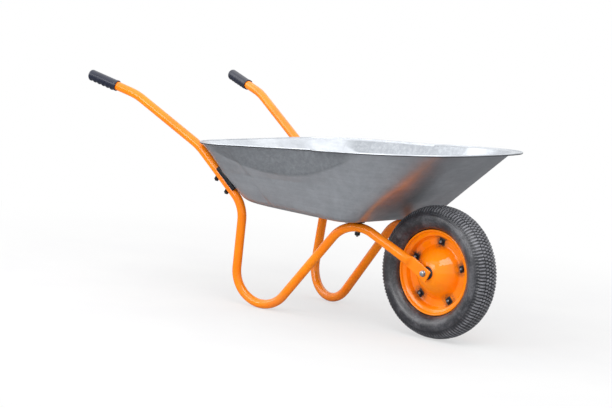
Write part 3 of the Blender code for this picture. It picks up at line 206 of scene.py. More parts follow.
class Bench:
    """Blender's modelling operators, each run on one piece with nothing else selected."""

    @staticmethod
    def alone(piece: bpy.types.Object) -> None:
        """Select one piece and make it active.

        Args:
            piece: The piece.
        """
        bpy.ops.object.select_all(action="DESELECT")
        piece.select_set(True)
        bpy.context.view_layer.objects.active = piece

    @classmethod
    def edit(cls, piece: bpy.types.Object, *steps: Callable[[], Any]) -> None:
        """Run edit mode operators, in order, on all of a piece.

        Args:
            piece: What is edited.
            steps: Calls of edit mode operators, in order.
        """
        cls.alone(piece)
        bpy.ops.object.mode_set(mode="EDIT")
        bpy.ops.mesh.select_mode(type="VERT")
        bpy.ops.mesh.select_all(action="SELECT")
        for step in steps:
            step()
        bpy.ops.object.mode_set(mode="OBJECT")

    @classmethod
    def ring(cls, name: str, points: Sequence[Vector], closed: bool = True) -> bpy.types.Object:
        """A ring of edges through points.

        Args:
            name: The piece's name.
            points: Where the ring's corners go.
            closed: Whether the last corner joins the first.

        Returns:
            The new piece.
        """
        bpy.ops.object.select_all(action="DESELECT")
        bpy.ops.mesh.primitive_circle_add(vertices=len(points), radius=0.01)
        piece = bpy.context.object
        piece.name = name
        for vertex, point in zip(piece.data.vertices, points):
            vertex.co = point
        if not closed:
            cls.open_ring(piece, {0, len(points) - 1})
        return piece

    @classmethod
    def open_ring(cls, piece: bpy.types.Object, ends: set[int]) -> None:
        """Delete the edge of a ring that joins two of its corners.

        Args:
            piece: The ring.
            ends: The two corners' numbers.
        """
        cls.alone(piece)
        bpy.ops.object.mode_set(mode="EDIT")
        bpy.ops.mesh.select_mode(type="EDGE")
        bpy.ops.mesh.select_all(action="DESELECT")
        bpy.ops.object.mode_set(mode="OBJECT")
        for edge in piece.data.edges:
            edge.select = set(edge.vertices) == ends
        bpy.ops.object.mode_set(mode="EDIT")
        bpy.ops.mesh.delete(type="EDGE")
        bpy.ops.object.mode_set(mode="OBJECT")

    @classmethod
    def clean(cls, piece: bpy.types.Object, reach: float = 0.000005) -> None:
        """Merge a piece's doubles and turn its faces outward."""
        cls.edit(piece, lambda: bpy.ops.mesh.remove_doubles(threshold=reach),
                 lambda: bpy.ops.mesh.normals_make_consistent(inside=False))

    @classmethod
    def spun(cls, name: str, profile: Sequence[Pair], steps: int, closed: bool = True
             ) -> bpy.types.Object:
        """A turned piece.

        Args:
            name: The piece's name.
            profile: Its section as (radius, height) pairs.
            steps: The steps of the turn.
            closed: Whether the section is a closed ring. If not, its ends are on the axis.

        Returns:
            The new piece, round Z.
        """
        points = [Vector((radius, 0.0, height)) for radius, height in profile]
        piece = cls.ring(name, points, closed)
        cls.edit(piece, lambda: bpy.ops.mesh.spin(steps=steps, angle=2.0 * math.pi,
                                                  center=(0.0, 0.0, 0.0), axis=(0.0, 0.0, 1.0)))
        cls.clean(piece)
        return piece

    @classmethod
    def drill(cls, radius: float, low: float, high: float, steps: int) -> bpy.types.Object:
        """A tool for a round hole along Z, from low to high."""
        profile = [(0.0, low), (radius, low), (radius, high), (0.0, high)]
        return cls.spun("hole", profile, steps, closed=False)

    @classmethod
    def slab(cls, name: str, outline: Sequence[Pair], length: float) -> bpy.types.Object:
        """A straight bar of one section.

        Args:
            name: The piece's name.
            outline: The section in X and Y.
            length: How long the bar is, along Z, with its middle at the origin.

        Returns:
            The new piece.
        """
        points = [Vector((x, y, -length / 2.0)) for x, y in outline]
        piece = cls.ring(name, points)
        cls.edit(piece, bpy.ops.mesh.edge_face_add,
                 lambda: bpy.ops.mesh.extrude_region_move(
                     TRANSFORM_OT_translate={"value": (0.0, 0.0, length)}))
        cls.clean(piece)
        return piece

    @classmethod
    def skin(cls, name: str, rings: Sequence[Sequence[Vector]],
             ends: tuple[bool, bool] = (False, False), loop: bool = False) -> bpy.types.Object:
        """A skin through rings of one count, for a shape whose rings are all unlike.

        Args:
            name: The piece's name.
            rings: The rings' points, in order.
            ends: Whether the first and the last ring get a face.
            loop: Whether the last ring joins the first.

        Returns:
            The new piece.
        """
        count = len(rings[0])
        points = [point for ring in rings for point in ring]
        faces = []
        for row in range(len(rings) if loop else len(rings) - 1):
            low, high = row * count, (row + 1) % len(rings) * count
            for step in range(count):
                after = (step + 1) % count
                faces.append((low + step, low + after, high + after, high + step))
        if ends[0]:
            faces.append(tuple(reversed(range(count))))
        if ends[1]:
            faces.append(tuple(range((len(rings) - 1) * count, len(rings) * count)))
        mesh = bpy.data.meshes.new(name)
        mesh.from_pydata(points, [], faces)
        piece = bpy.data.objects.new(name, mesh)
        bpy.context.scene.collection.objects.link(piece)
        return piece

    @classmethod
    def modify(cls, piece: bpy.types.Object, kind: str, **settings: Any) -> None:
        """Add a modifier to a piece and apply it.

        Args:
            piece: What is modified.
            kind: The modifier's type.
            settings: The modifier's values.
        """
        cls.alone(piece)
        step = piece.modifiers.new(kind.lower(), kind)
        for name, value in settings.items():
            setattr(step, name, value)
        bpy.ops.object.modifier_apply(modifier=step.name)

    @classmethod
    def cut(cls, piece: bpy.types.Object, tool: bpy.types.Object, keep: str = "DIFFERENCE"
            ) -> None:
        """Cut a piece with a closed tool, which is then thrown away.

        Args:
            piece: What is cut.
            tool: What cuts.
            keep: The Boolean's operation.
        """
        cls.modify(piece, "BOOLEAN", operation=keep, object=tool, solver="EXACT")
        bpy.data.objects.remove(tool, do_unlink=True)

    @classmethod
    def bevel(cls, piece: bpy.types.Object, width: float, steps: int = 2) -> None:
        """Round a piece's edges that turn by more than 50 degrees."""
        cls.modify(piece, "BEVEL", width=width, segments=steps, limit_method="ANGLE",
                   angle_limit=math.radians(50.0), use_clamp_overlap=True)

    @classmethod
    def soften(cls, piece: bpy.types.Object, degrees: float = 35.0) -> None:
        """Shade a piece smooth, apart from its sharp edges."""
        cls.alone(piece)
        bpy.ops.object.shade_smooth_by_angle(angle=math.radians(degrees))

    @staticmethod
    def set_down(piece: bpy.types.Object, place: Matrix) -> None:
        """Move a piece's mesh, and keep its faces outward where the place mirrors it.

        Args:
            piece: What is moved.
            place: Where it goes.
        """
        piece.data.transform(place)
        if place.determinant() < 0.0:
            piece.data.flip_normals()

    @classmethod
    def copy(cls, piece: bpy.types.Object, name: str, place: Matrix) -> bpy.types.Object:
        """A copy of a piece with its own mesh.

        Args:
            piece: What is copied.
            name: The copy's name.
            place: Where the copy goes.

        Returns:
            The copy.
        """
        made = piece.copy()
        made.data = piece.data.copy()
        made.name = name
        bpy.context.scene.collection.objects.link(made)
        cls.set_down(made, place)
        return made

    @staticmethod
    def mark(piece: bpy.types.Object, name: str, marks: Sequence[tuple[Vector, float]]) -> None:
        """Give each vertex the value of the mark next to it, for a finish to read.

        Args:
            piece: The piece.
            name: The attribute's name.
            marks: Places in the piece's coordinates, each with its value.
        """
        tree = KDTree(len(marks))
        for index, (place, _) in enumerate(marks):
            tree.insert(place, index)
        tree.balance()
        written = piece.data.attributes.new(name, "FLOAT", "POINT")
        for vertex in piece.data.vertices:
            written.data[vertex.index].value = marks[tree.find(vertex.co)[1]][1]

    @staticmethod
    def scrap(*pieces: bpy.types.Object) -> None:
        """Throw pieces away that were only patterns for copies."""
        for piece in pieces:
            bpy.data.objects.remove(piece, do_unlink=True)


class Value:
    """A number that flows between nodes, so that shader maths reads as Python."""

    def __init__(self, owner: "Nodes", socket: bpy.types.NodeSocket) -> None:
        """Wrap an output socket of the owner's nodes."""
        self.owner = owner
        self.socket = socket

    def __add__(self, other: "Value | float") -> "Value":
        """The sum."""
        return self.owner.maths("ADD", self, other)

    def __sub__(self, other: "Value | float") -> "Value":
        """The difference."""
        return self.owner.maths("SUBTRACT", self, other)

    def __rsub__(self, other: "Value | float") -> "Value":
        """The difference from a number."""
        return self.owner.maths("SUBTRACT", other, self)

    def __mul__(self, other: "Value | float") -> "Value":
        """The product."""
        return self.owner.maths("MULTIPLY", self, other)

    __radd__ = __add__
    __rmul__ = __mul__


class Nodes:
    """A node tree and the ways of adding to it."""

    def __init__(self, tree: bpy.types.NodeTree) -> None:
        """Work on a tree that is there."""
        self.tree = tree

    def node(self, kind: str, settings: dict[str, Any], inputs: dict[Any, Any]
             ) -> bpy.types.Node:
        """Add a node.

        Args:
            kind: The node's type.
            settings: What is set on the node itself, such as a Math node's operation.
            inputs: The values or links of its sockets.

        Returns:
            The new node.
        """
        made = self.tree.nodes.new(kind)
        for key, value in settings.items():
            setattr(made, key, value)
        for key, value in inputs.items():
            self.feed(made.inputs[key], value)
        return made

    def feed(self, socket: bpy.types.NodeSocket, value: Any) -> None:
        """Give a socket a value, or a link to another socket.

        Args:
            socket: The input.
            value: A number, a colour, a Value or a socket.
        """
        if isinstance(value, Value):
            value = value.socket
        if isinstance(value, bpy.types.NodeSocket):
            self.tree.links.new(value, socket)
        elif isinstance(value, tuple) and len(value) == 3 and socket.type == "RGBA":
            socket.default_value = (*value, 1.0)
        else:
            socket.default_value = value

    def maths(self, operation: str, first: Any, second: Any = 0.0, limit: bool = False
              ) -> Value:
        """The result of a Math node.

        Args:
            operation: The node's operation.
            first: Its first input.
            second: Its second input.
            limit: Whether the result is kept between 0 and 1.

        Returns:
            The result.
        """
        made = self.node("ShaderNodeMath", {"operation": operation, "use_clamp": limit},
                         {0: first, 1: second})
        return Value(self, made.outputs[0])

    def reading(self, kind: str, output: str, settings: dict[str, Any] | None = None,
                inputs: dict[Any, Any] | None = None) -> Value:
        """One output of a new node, as a number.

        Args:
            kind: The node's type.
            output: The output's name.
            settings: What is set on the node itself.
            inputs: The values or links of its sockets.

        Returns:
            The number.
        """
        return Value(self, self.node(kind, settings or {}, inputs or {}).outputs[output])


class Paint(Nodes):
    """A material's nodes, and what its finish is mixed from."""

    def __init__(self, name: str) -> None:
        """Start a material with a Principled shader.

        Args:
            name: The material's name.
        """
        self.material = bpy.data.materials.new(name)
        self.material.use_nodes = True
        super().__init__(self.material.node_tree)
        self.shader = self.tree.nodes["Principled BSDF"]
        self.coordinates = self.node("ShaderNodeTexCoord", {}, {}).outputs["Object"]

    def stretched(self, scale: Triple) -> bpy.types.NodeSocket:
        """Object coordinates, multiplied by a scale along each axis."""
        return self.node("ShaderNodeMapping", {},
                         {"Vector": self.coordinates, "Scale": scale}).outputs[0]

    def noise(self, scale: float, detail: float = 3.0, roughness: float = 0.55,
              place: Any = None, warp: float = 0.0) -> Value:
        """Soft noise, from 0 to 1.

        Args:
            scale: Its patches in a metre.
            detail: Its octaves.
            roughness: How strong the small octaves are.
            place: The coordinates, or None for the object's.
            warp: How far it folds on itself.

        Returns:
            The noise.
        """
        made = self.node("ShaderNodeTexNoise", {},
                         {"Vector": place or self.coordinates, "Scale": scale,
                          "Detail": detail, "Roughness": roughness, "Distortion": warp})
        return Value(self, made.outputs[0])

    def cells(self, scale: float) -> bpy.types.Node:
        """A cell pattern's node."""
        return self.node("ShaderNodeTexVoronoi", {},
                         {"Vector": self.coordinates, "Scale": scale})

    def facets(self, scale: float) -> Value:
        """A number that is even within each cell of a pattern, from 0 to 1."""
        return self.reading("ShaderNodeSeparateColor", "Red",
                            inputs={0: self.cells(scale).outputs["Color"]})

    def mark(self, name: str) -> Value:
        """The marks that the bench gave the mesh under a name."""
        return self.reading("ShaderNodeAttribute", "Fac", {"attribute_name": name})

    def band(self, value: Value, low: float, high: float, start: float = 0.0,
             end: float = 1.0) -> Value:
        """A value eased from one range to another.

        Args:
            value: What is measured.
            low: Where the result is start.
            high: Where the result is end.
            start: The first result.
            end: The last result.

        Returns:
            The eased value.
        """
        return self.reading("ShaderNodeMapRange", "Result",
                            {"interpolation_type": "SMOOTHSTEP"},
                            {"Value": value, "From Min": low, "From Max": high,
                             "To Min": start, "To Max": end})

    def axis(self, name: str) -> Value:
        """One of the object coordinates."""
        return self.reading("ShaderNodeSeparateXYZ", name, inputs={0: self.coordinates})

    def mix(self, share: Any, first: Any, second: Any) -> bpy.types.NodeSocket:
        """A colour between two others.

        Args:
            share: How much of the second colour there is.
            first: The first colour.
            second: The second colour.

        Returns:
            The mixed colour.
        """
        made = self.node("ShaderNodeMix", {"data_type": "RGBA"},
                         {0: share, 6: first, 7: second})
        return made.outputs[2]

    def toned(self, colour: Any, share: Any) -> bpy.types.NodeSocket:
        """A colour made darker or lighter by a number.

        Args:
            colour: The colour.
            share: What it is multiplied by.

        Returns:
            The new colour.
        """
        made = self.node("ShaderNodeVectorMath", {"operation": "SCALE"},
                         {0: colour, "Scale": share})
        return made.outputs[0]

    def relief(self, height: Value, distance: float, strength: float = 1.0,
               under: Any = None) -> bpy.types.NodeSocket:
        """A Bump node's normal.

        Args:
            height: The relief's height.
            distance: What a height of 1 stands for.
            strength: How much of the relief shows.
            under: The normal that it is added to.

        Returns:
            The normal.
        """
        inputs = {"Height": height, "Distance": distance, "Strength": strength}
        if under is not None:
            inputs["Normal"] = under
        return self.node("ShaderNodeBump", {}, inputs).outputs[0]

    def dress(self, inputs: dict[str, Any]) -> bpy.types.Material:
        """Give the shader its values and links.

        Args:
            inputs: The shader's inputs by name.

        Returns:
            The material.
        """
        for name, value in inputs.items():
            self.feed(self.shader.inputs[name], value)
        return self.material


@dataclass(frozen=True)
class GalvanisedSheet:
    """Zinc-coated sheet: spangle, rolled grain, dull patches and handling marks. The crescents are
    darker, partly for a rougher finish from the stamping and partly as painted shade, and a
    painted shadow line runs along the bead's rolled-under edge.
    """

    name: str = "galvanised_sheet"
    tone: Colour = (0.56, 0.585, 0.62)
    dull: Colour = (0.43, 0.453, 0.485)
    # Darker crescent tone: partly their rougher stamped finish, partly painted shade.
    pressed: Colour = (0.30, 0.318, 0.342)
    # Painted shadow line along the bead's rolled-under edge.
    tucked: Colour = (0.11, 0.116, 0.128)
    rubbed: Colour = (0.62, 0.64, 0.67)
    roughness: float = 0.29

    def material(self) -> bpy.types.Material:
        """Build the material.

        Returns:
            The material.
        """
        paint = Paint(self.name)
        spangle = paint.facets(95.0)
        fine = paint.facets(420.0)
        cloud = paint.noise(7.0, detail=5.0, roughness=0.6, warp=0.4)
        rolled = paint.noise(30.0, detail=4.0, roughness=0.6,
                             place=paint.stretched((0.25, 1.0, 5.0)))
        grain = paint.noise(1400.0, detail=2.0, roughness=0.7)
        scratches = paint.noise(60.0, detail=6.0, roughness=0.75,
                                place=paint.stretched((0.3, 0.3, 2.2)))
        marks = paint.band(scratches, 0.62, 0.74)
        mottle = paint.noise(95.0, detail=5.0, roughness=0.7, warp=0.5)
        # Crescent mask, mottled: partly a rougher stamped finish, partly painted shade.
        crescent_finish_and_shade_share = paint.mark("pressed") * paint.band(mottle, 0.30, 0.62, 0.62, 1.0)
        dull = paint.band(cloud + rolled * 0.35, 0.42, 0.86)
        shade = 0.94 + spangle * 0.07 + fine * 0.06
        colour = paint.mix(dull, self.tone, self.dull)
        colour = paint.toned(paint.mix(crescent_finish_and_shade_share, colour, self.pressed), shade)
        # Painted shadow: a dark line along the bead's rolled-under edge.
        colour = paint.mix(paint.mark("tucked"), colour, self.tucked)
        colour = paint.mix(marks * 0.22, colour, self.rubbed)
        rough = (self.roughness + dull * 0.08 + spangle * 0.04 + fine * 0.03 + grain * 0.03
                 + crescent_finish_and_shade_share * 0.10 - marks * 0.05)
        bump = paint.relief(rolled, 0.0010, 0.10)
        bump = paint.relief(cloud, 0.006, 0.14, bump)
        bump = paint.relief(mottle * crescent_finish_and_shade_share, 0.0006, 0.4, bump)
        bump = paint.relief(spangle * 0.5 + fine * 0.3 + grain, 0.00006, 0.5, bump)
        return paint.dress({"Base Color": colour, "Roughness": rough, "Metallic": 0.85,
                            "Normal": bump})


@dataclass(frozen=True)
class GlossPaint:
    """Gloss paint on steel: a clear skin, faint orange peel, dust and a few rubbed spots.

    Where places are named as grimy, old grease lies round them.
    """

    name: str = "orange_gloss_paint"
    tone: Colour = (1.0, 0.262, 0.001)
    deep: Colour = (0.98, 0.205, 0.001)
    dust: Colour = (0.42, 0.26, 0.14)
    dusty: float = 0.16
    speck: Colour = (0.30, 0.14, 0.05)
    grime: Colour = (0.075, 0.038, 0.030)
    grime_reach: Pair = (0.030, 0.009)
    grime_share: float = 0.85
    grimy: tuple[Triple, ...] = ()

    def smear(self, paint: Paint) -> Value:
        """How much old grease lies round each of the grimy places.

        Args:
            paint: The finish's nodes.

        Returns:
            The share of grease, from 0 to 1.
        """
        spots = [paint.band(paint.reading("ShaderNodeVectorMath", "Value",
                                          {"operation": "DISTANCE"},
                                          {0: paint.coordinates, 1: place}), *self.grime_reach)
                 for place in self.grimy]
        near = sum(spots[1:], spots[0])
        patches = paint.band(paint.noise(95.0, detail=6.0, roughness=0.75, warp=0.9), 0.34, 0.58)
        return near * patches * self.grime_share

    def material(self) -> bpy.types.Material:
        """Build the material.

        Returns:
            The material.
        """
        paint = Paint(self.name)
        cloud = paint.noise(11.0, detail=4.0, roughness=0.6)
        peel = paint.noise(240.0, detail=2.0, roughness=0.5)
        speck = paint.band(paint.noise(420.0, detail=3.0, roughness=0.6), 0.70, 0.76)
        low = paint.band(paint.axis("Z"), 0.16, 0.0)
        settled = paint.noise(26.0, detail=6.0, roughness=0.7, warp=0.6) + low * 0.22
        dust = paint.band(settled, 0.56, 0.86)
        colour = paint.mix(paint.band(cloud, 0.35, 0.75), self.tone, self.deep)
        colour = paint.mix(dust * self.dusty, colour, self.dust)
        colour = paint.mix(speck * 0.5, colour, self.speck)
        rough = 0.22 + dust * 0.25 + cloud * 0.06 + speck * 0.2
        if self.grimy:
            smear = self.smear(paint)
            colour = paint.mix(smear, colour, self.grime)
            rough = rough + smear * 0.25
        bump = paint.relief(peel, 0.00003, 0.5)
        bump = paint.relief(speck, 0.00008, 0.4, bump)
        return paint.dress({"Base Color": colour, "Roughness": rough, "Normal": bump,
                            "Specular IOR Level": 0.06, "Coat Weight": 0.70,
                            "Coat Roughness": 0.06})


@dataclass(frozen=True)
class BlackSteel:
    """Black coated steel of brackets, nuts and washers, rubbed grey in places."""

    name: str = "black_bracket_steel"
    tone: Colour = (0.014, 0.015, 0.019)
    rubbed: Colour = (0.10, 0.105, 0.115)
    roughness: float = 0.38

    def material(self) -> bpy.types.Material:
        """Build the material.

        Returns:
            The material.
        """
        paint = Paint(self.name)
        rub = paint.band(paint.noise(120.0, detail=6.0, roughness=0.75), 0.55, 0.78)
        grain = paint.noise(1600.0, detail=2.0, roughness=0.6)
        colour = paint.mix(rub * 0.5, self.tone, self.rubbed)
        return paint.dress({"Base Color": colour, "Metallic": 0.35,
                            "Roughness": self.roughness + rub * 0.14 + grain * 0.06,
                            "Normal": paint.relief(grain + rub, 0.00005, 0.6)})


@dataclass(frozen=True)
class ZincPlate:
    """Bright zinc plate of bolts and washers."""

    name: str = "zinc_plated_bolt"
    tone: Colour = (0.46, 0.50, 0.53)
    shade: Colour = (0.27, 0.30, 0.34)
    roughness: float = 0.26

    def material(self) -> bpy.types.Material:
        """Build the material.

        Returns:
            The material.
        """
        paint = Paint(self.name)
        cloud = paint.noise(160.0, detail=5.0, roughness=0.65)
        grain = paint.noise(2200.0, detail=2.0, roughness=0.6)
        colour = paint.mix(paint.band(cloud, 0.35, 0.75), self.tone, self.shade)
        return paint.dress({"Base Color": colour, "Metallic": 0.95,
                            "Roughness": self.roughness + cloud * 0.16,
                            "Normal": paint.relief(cloud + grain, 0.00004, 0.6)})


@dataclass(frozen=True)
class GripPlastic:
    """Soft navy-black plastic of the grips, with a fine moulded grain."""

    name: str = "grip_plastic"
    tone: Colour = (0.008, 0.011, 0.026)
    worn: Colour = (0.022, 0.028, 0.056)

    def material(self) -> bpy.types.Material:
        """Build the material.

        Returns:
            The material.
        """
        paint = Paint(self.name)
        cloud = paint.noise(38.0, detail=5.0, roughness=0.65)
        grain = Value(paint, paint.cells(1500.0).outputs["Distance"])
        wear = paint.band(cloud, 0.42, 0.80)
        colour = paint.mix(wear * 0.55, self.tone, self.worn)
        return paint.dress({"Base Color": colour, "Roughness": 0.24 + wear * 0.10,
                            "Specular IOR Level": 0.5,
                            "Normal": paint.relief(grain, 0.00003, 0.25)})


@dataclass(frozen=True)
class TyreRubber:
    """Black rubber with dry dust and pale scuffs on its raised tread and side walls, and grooves
    kept bare and dark as painted shade.
    """

    name: str = "tyre_rubber"
    tone: Colour = (0.013, 0.014, 0.019)
    dust: Colour = (0.235, 0.237, 0.262)
    dusty: float = 0.76
    grit: Colour = (0.40, 0.39, 0.40)

    def material(self) -> bpy.types.Material:
        """Build the material.

        Returns:
            The material.
        """
        paint = Paint(self.name)
        cloud = paint.noise(16.0, detail=6.0, roughness=0.68, warp=0.5)
        fine = paint.noise(210.0, detail=5.0, roughness=0.7)
        grit = paint.band(paint.noise(640.0, detail=3.0, roughness=0.7), 0.66, 0.78)
        film = paint.band(cloud * 0.70 + fine * 0.45, 0.48, 0.78)
        raised = paint.mark("raised")
        scuffs = paint.band(paint.noise(75.0, detail=6.0, roughness=0.75), 0.46, 0.70)
        # Painted shade: the grooves keep almost no dust and stay dark, while the raised blocks get
        # dust and pale scuffs.
        film = (film * paint.band(raised, 0.0, 0.5, 0.05, 0.62)
                + paint.band(raised, 0.55, 0.8) * (0.62 + scuffs * 0.90))
        colour = paint.mix(film * self.dusty, self.tone, self.dust)
        colour = paint.mix(grit * 0.65, colour, self.grit)
        bump = paint.relief(fine, 0.0007, 0.6)
        bump = paint.relief(grit, 0.0004, 0.6, bump)
        return paint.dress({"Base Color": colour, "Normal": bump, "Specular IOR Level": 0.8,
                            "Roughness": 0.34 + film * 0.22 + grit * 0.1})


@dataclass(frozen=True)
class PlainRubber:
    """Rubber of the inner tube and the seals, with a bloom of powder."""

    name: str = "inner_rubber"
    tone: Colour = (0.022, 0.022, 0.025)
    bloom: Colour = (0.085, 0.085, 0.090)

    def material(self) -> bpy.types.Material:
        """Build the material.

        Returns:
            The material.
        """
        paint = Paint(self.name)
        powder = paint.band(paint.noise(70.0, detail=5.0, roughness=0.7), 0.45, 0.85)
        colour = paint.mix(powder * 0.6, self.tone, self.bloom)
        return paint.dress({"Base Color": colour, "Roughness": 0.48 + powder * 0.22,
                            "Normal": paint.relief(powder, 0.0001, 0.4)})


@dataclass(frozen=True)
class BearingSteel:
    """Ground steel of the bearing rings, with a film of grease."""

    name: str = "bearing_steel"
    tone: Colour = (0.52, 0.52, 0.53)
    grease: Colour = (0.20, 0.17, 0.13)

    def material(self) -> bpy.types.Material:
        """Build the material.

        Returns:
            The material.
        """
        paint = Paint(self.name)
        film = paint.band(paint.noise(150.0, detail=5.0, roughness=0.65), 0.45, 0.8)
        turned = paint.noise(1800.0, detail=2.0, roughness=0.5)
        colour = paint.mix(film * 0.5, self.tone, self.grease)
        return paint.dress({"Base Color": colour, "Metallic": 0.95,
                            "Roughness": 0.20 + film * 0.22,
                            "Normal": paint.relief(turned, 0.00003, 0.5)})


def finish_field(kind: type) -> Any:
    """A dataclass field whose default is the material of a kind of finish."""
    return field(default_factory=lambda: kind().material())


@dataclass
class Finishes:
    """The barrow's finishes, each made once."""

    sheet: bpy.types.Material = finish_field(GalvanisedSheet)
    orange: bpy.types.Material = finish_field(GlossPaint)
    black: bpy.types.Material = finish_field(BlackSteel)
    zinc: bpy.types.Material = finish_field(ZincPlate)
    grip: bpy.types.Material = finish_field(GripPlastic)
    tyre: bpy.types.Material = finish_field(TyreRubber)
    rubber: bpy.types.Material = finish_field(PlainRubber)
    bearing: bpy.types.Material = finish_field(BearingSteel)


def hang(piece: bpy.types.Object, body: Body, finish: bpy.types.Material, slot: str,
         *nodes: str) -> None:
    """Finish a piece and let it ride on a body.

    Args:
        piece: What is ready, in the frame's coordinates.
        body: The body that it rides on.
        finish: Its material.
        slot: Not used.
        nodes: The CAD nodes that it stands for.
    """
    piece.data.materials.clear()
    piece.data.materials.append(finish)
    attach(piece, body.value)
    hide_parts(*nodes)
    log.info("%s: %d faces on %s, for %s", piece.name, len(piece.data.polygons), body.value,
             ", ".join(nodes))


def hang_both(left: bpy.types.Object, finish: bpy.types.Material, slot: str, node: str
              ) -> None:
    """Finish a left piece of the frame and its mirror image on the right.

    Args:
        left: The left piece, whose name ends in "_left".
        finish: Their material.
        slot: The slot's name, which is passed on to hang.
        node: What the CAD nodes' names say before the side.
    """
    stem = left.name.removesuffix("_left")
    right = Bench.copy(left, f"{stem}_right", Side.RIGHT.mirror)
    hang(left, Body.FRAME, finish, slot, f"{node}_left")
    hang(right, Body.FRAME, finish, slot, f"{node}_right")


@dataclass
class FrameTube:
    """The bent tube of one side, which runs from the grip to the axle."""

    radius: float = 0.0125
    wall: float = 0.0015
    flat_width: float = 0.0345
    flat_thickness: float = 0.0045
    flat_length: float = 0.0435
    flat_overhang: float = 0.0168
    press_length: float = 0.014
    oval_height: float = 0.0285
    oval_width: float = 0.0225
    flat_powers: Pair = (0.85, 0.28)  # how square the flat is, across and through
    sides: int = 36
    grip_end: Vector = place_field(-1.0872, 0.2924, 0.5801)
    handle_bend: Vector = place_field(-0.9346, 0.2575, 0.5418)
    upper_bend: Vector = place_field(-0.7225, 0.2089, 0.4253)
    lower_bend: Vector = place_field(-0.5681, 0.1743, 0.2787)
    leg_track: float = 0.1535
    leg_lean: float = 0.0640
    drops: Pair = (-0.4, 0.0)  # the leg corner's height is sought between them
    halvings: int = 40
    apex: Vector = place_field(-0.2352, 0.1092, 0.297347)
    axle_track: float = 0.0645
    # The bends are the handle's, the upper one, the lower one, the foot's, the arch's and the
    # one before the axle.
    bend_radii: tuple[float, ...] = (0.180, 0.188, 0.090, 0.086, 0.097, 0.060)
    bend_steps: tuple[int, ...] = (8, 10, 12, 36, 22, 5)
    arch: int = 4
    oval_steps: int = 8
    press_steps: int = 6

    def corners(self, drop: float) -> list[Vector]:
        """The centre line's sharp corners, for a leg whose corner is at a height.

        Args:
            drop: The height of the leg's sharp corner.

        Returns:
            The corners, from the grip to past the axle.
        """
        leg = Vector((self.lower_bend.x - self.leg_lean * (self.lower_bend.z - drop),
                      self.leg_track, drop))
        axle = Vector((0.0, self.axle_track, WHEEL_RADIUS))
        slope = Vector((axle.x - self.apex.x, 0.0, axle.z - self.apex.z)).normalized()
        return [self.grip_end, self.handle_bend, self.upper_bend, self.lower_bend, leg,
                self.apex, axle - slope * self.flat_length, axle + slope * self.flat_overhang]

    def bend(self, corners: Sequence[Vector], index: int) -> tuple[Vector, Vector, Vector]:
        """One bend of the centre line.

        Args:
            corners: The line's sharp corners.
            index: Which bend, from the handle's (0) on.

        Returns:
            The arc's centre, and from there its start and its end.
        """
        before, corner, after = corners[index:index + 3]
        radius = self.bend_radii[index]
        back, ahead = (before - corner).normalized(), (after - corner).normalized()
        half = back.angle(ahead) / 2.0
        centre = corner + (back + ahead).normalized() * radius / math.sin(half)
        reach = radius / math.tan(half)
        return centre, corner + back * reach - centre, corner + ahead * reach - centre

    def path(self, drop: float) -> list[Vector]:
        """The centre line with its bends.

        Args:
            drop: The height of the leg's sharp corner.

        Returns:
            The line's points, from the grip to past the axle.
        """
        corners = self.corners(drop)
        line = [corners[0].copy()]
        for index, count in enumerate(self.bend_steps):
            centre, start, end = self.bend(corners, index)
            sweep = start.angle(end)
            line += [centre + (start * math.sin((1.0 - share) * sweep)
                               + end * math.sin(share * sweep)) / math.sin(sweep)
                     for share in spread(0.0, 1.0, count)]
        line.append(corners[-1].copy())
        return line

    @cached_property
    def drop(self) -> float:
        """The height of the leg's sharp corner that lets its bend touch the ground.

        Returns:
            The height.
        """
        low, high = self.drops
        for _ in range(self.halvings):
            drop = (low + high) / 2.0
            if min(point.z for point in self.path(drop)) > self.radius:
                high = drop
            else:
                low = drop
        return drop

    def section(self, oval: float, flat: float) -> list[Pair]:
        """The tube's section.

        Args:
            oval: The share of the way from round to oval.
            flat: The share of the way to squashed flat.

        Returns:
            (across, through) pairs.
        """
        tall = self.radius + (self.oval_height / 2.0 - self.radius) * oval
        wide = self.radius + (self.oval_width / 2.0 - self.radius) * oval
        square, thin = self.flat_powers
        pairs = []
        for angle in turns(self.sides):
            cosine, sine = math.cos(angle), math.sin(angle)
            across = math.copysign(abs(cosine) ** square, cosine) * self.flat_width / 2.0
            through = math.copysign(abs(sine) ** thin, sine) * self.flat_thickness / 2.0
            pairs.append((tall * cosine + (across - tall * cosine) * flat,
                          wide * sine + (through - wide * sine) * flat))
        return pairs

    def stations(self) -> tuple[list[Vector], list[Pair]]:
        """The centre line, and at each of its points the oval share and the flat share.

        Returns:
            The points, and a pair of shares for each.
        """
        line = self.path(self.drop)
        split = sum(count + 1 for count in self.bend_steps[:self.arch + 1]) + 1
        line, rest = line[:split], line[split:]
        shares = [(0.0, 0.0)] * len(line)
        start, end = line[-1], rest[0]
        press = 1.0 - self.press_length / (end - start).length
        marks = [(along, 0.0) for along in spread(0.0, press, self.oval_steps)[1:]]
        marks += [(along, eased(along, press, 1.0))
                  for along in spread(press, 1.0, self.press_steps)[1:-1]]
        for along, flat in marks:
            line.append(start.lerp(end, along))
            shares.append((min(along / press, 1.0), flat))
        return line + rest, shares + [(1.0, 1.0)] * len(rest)

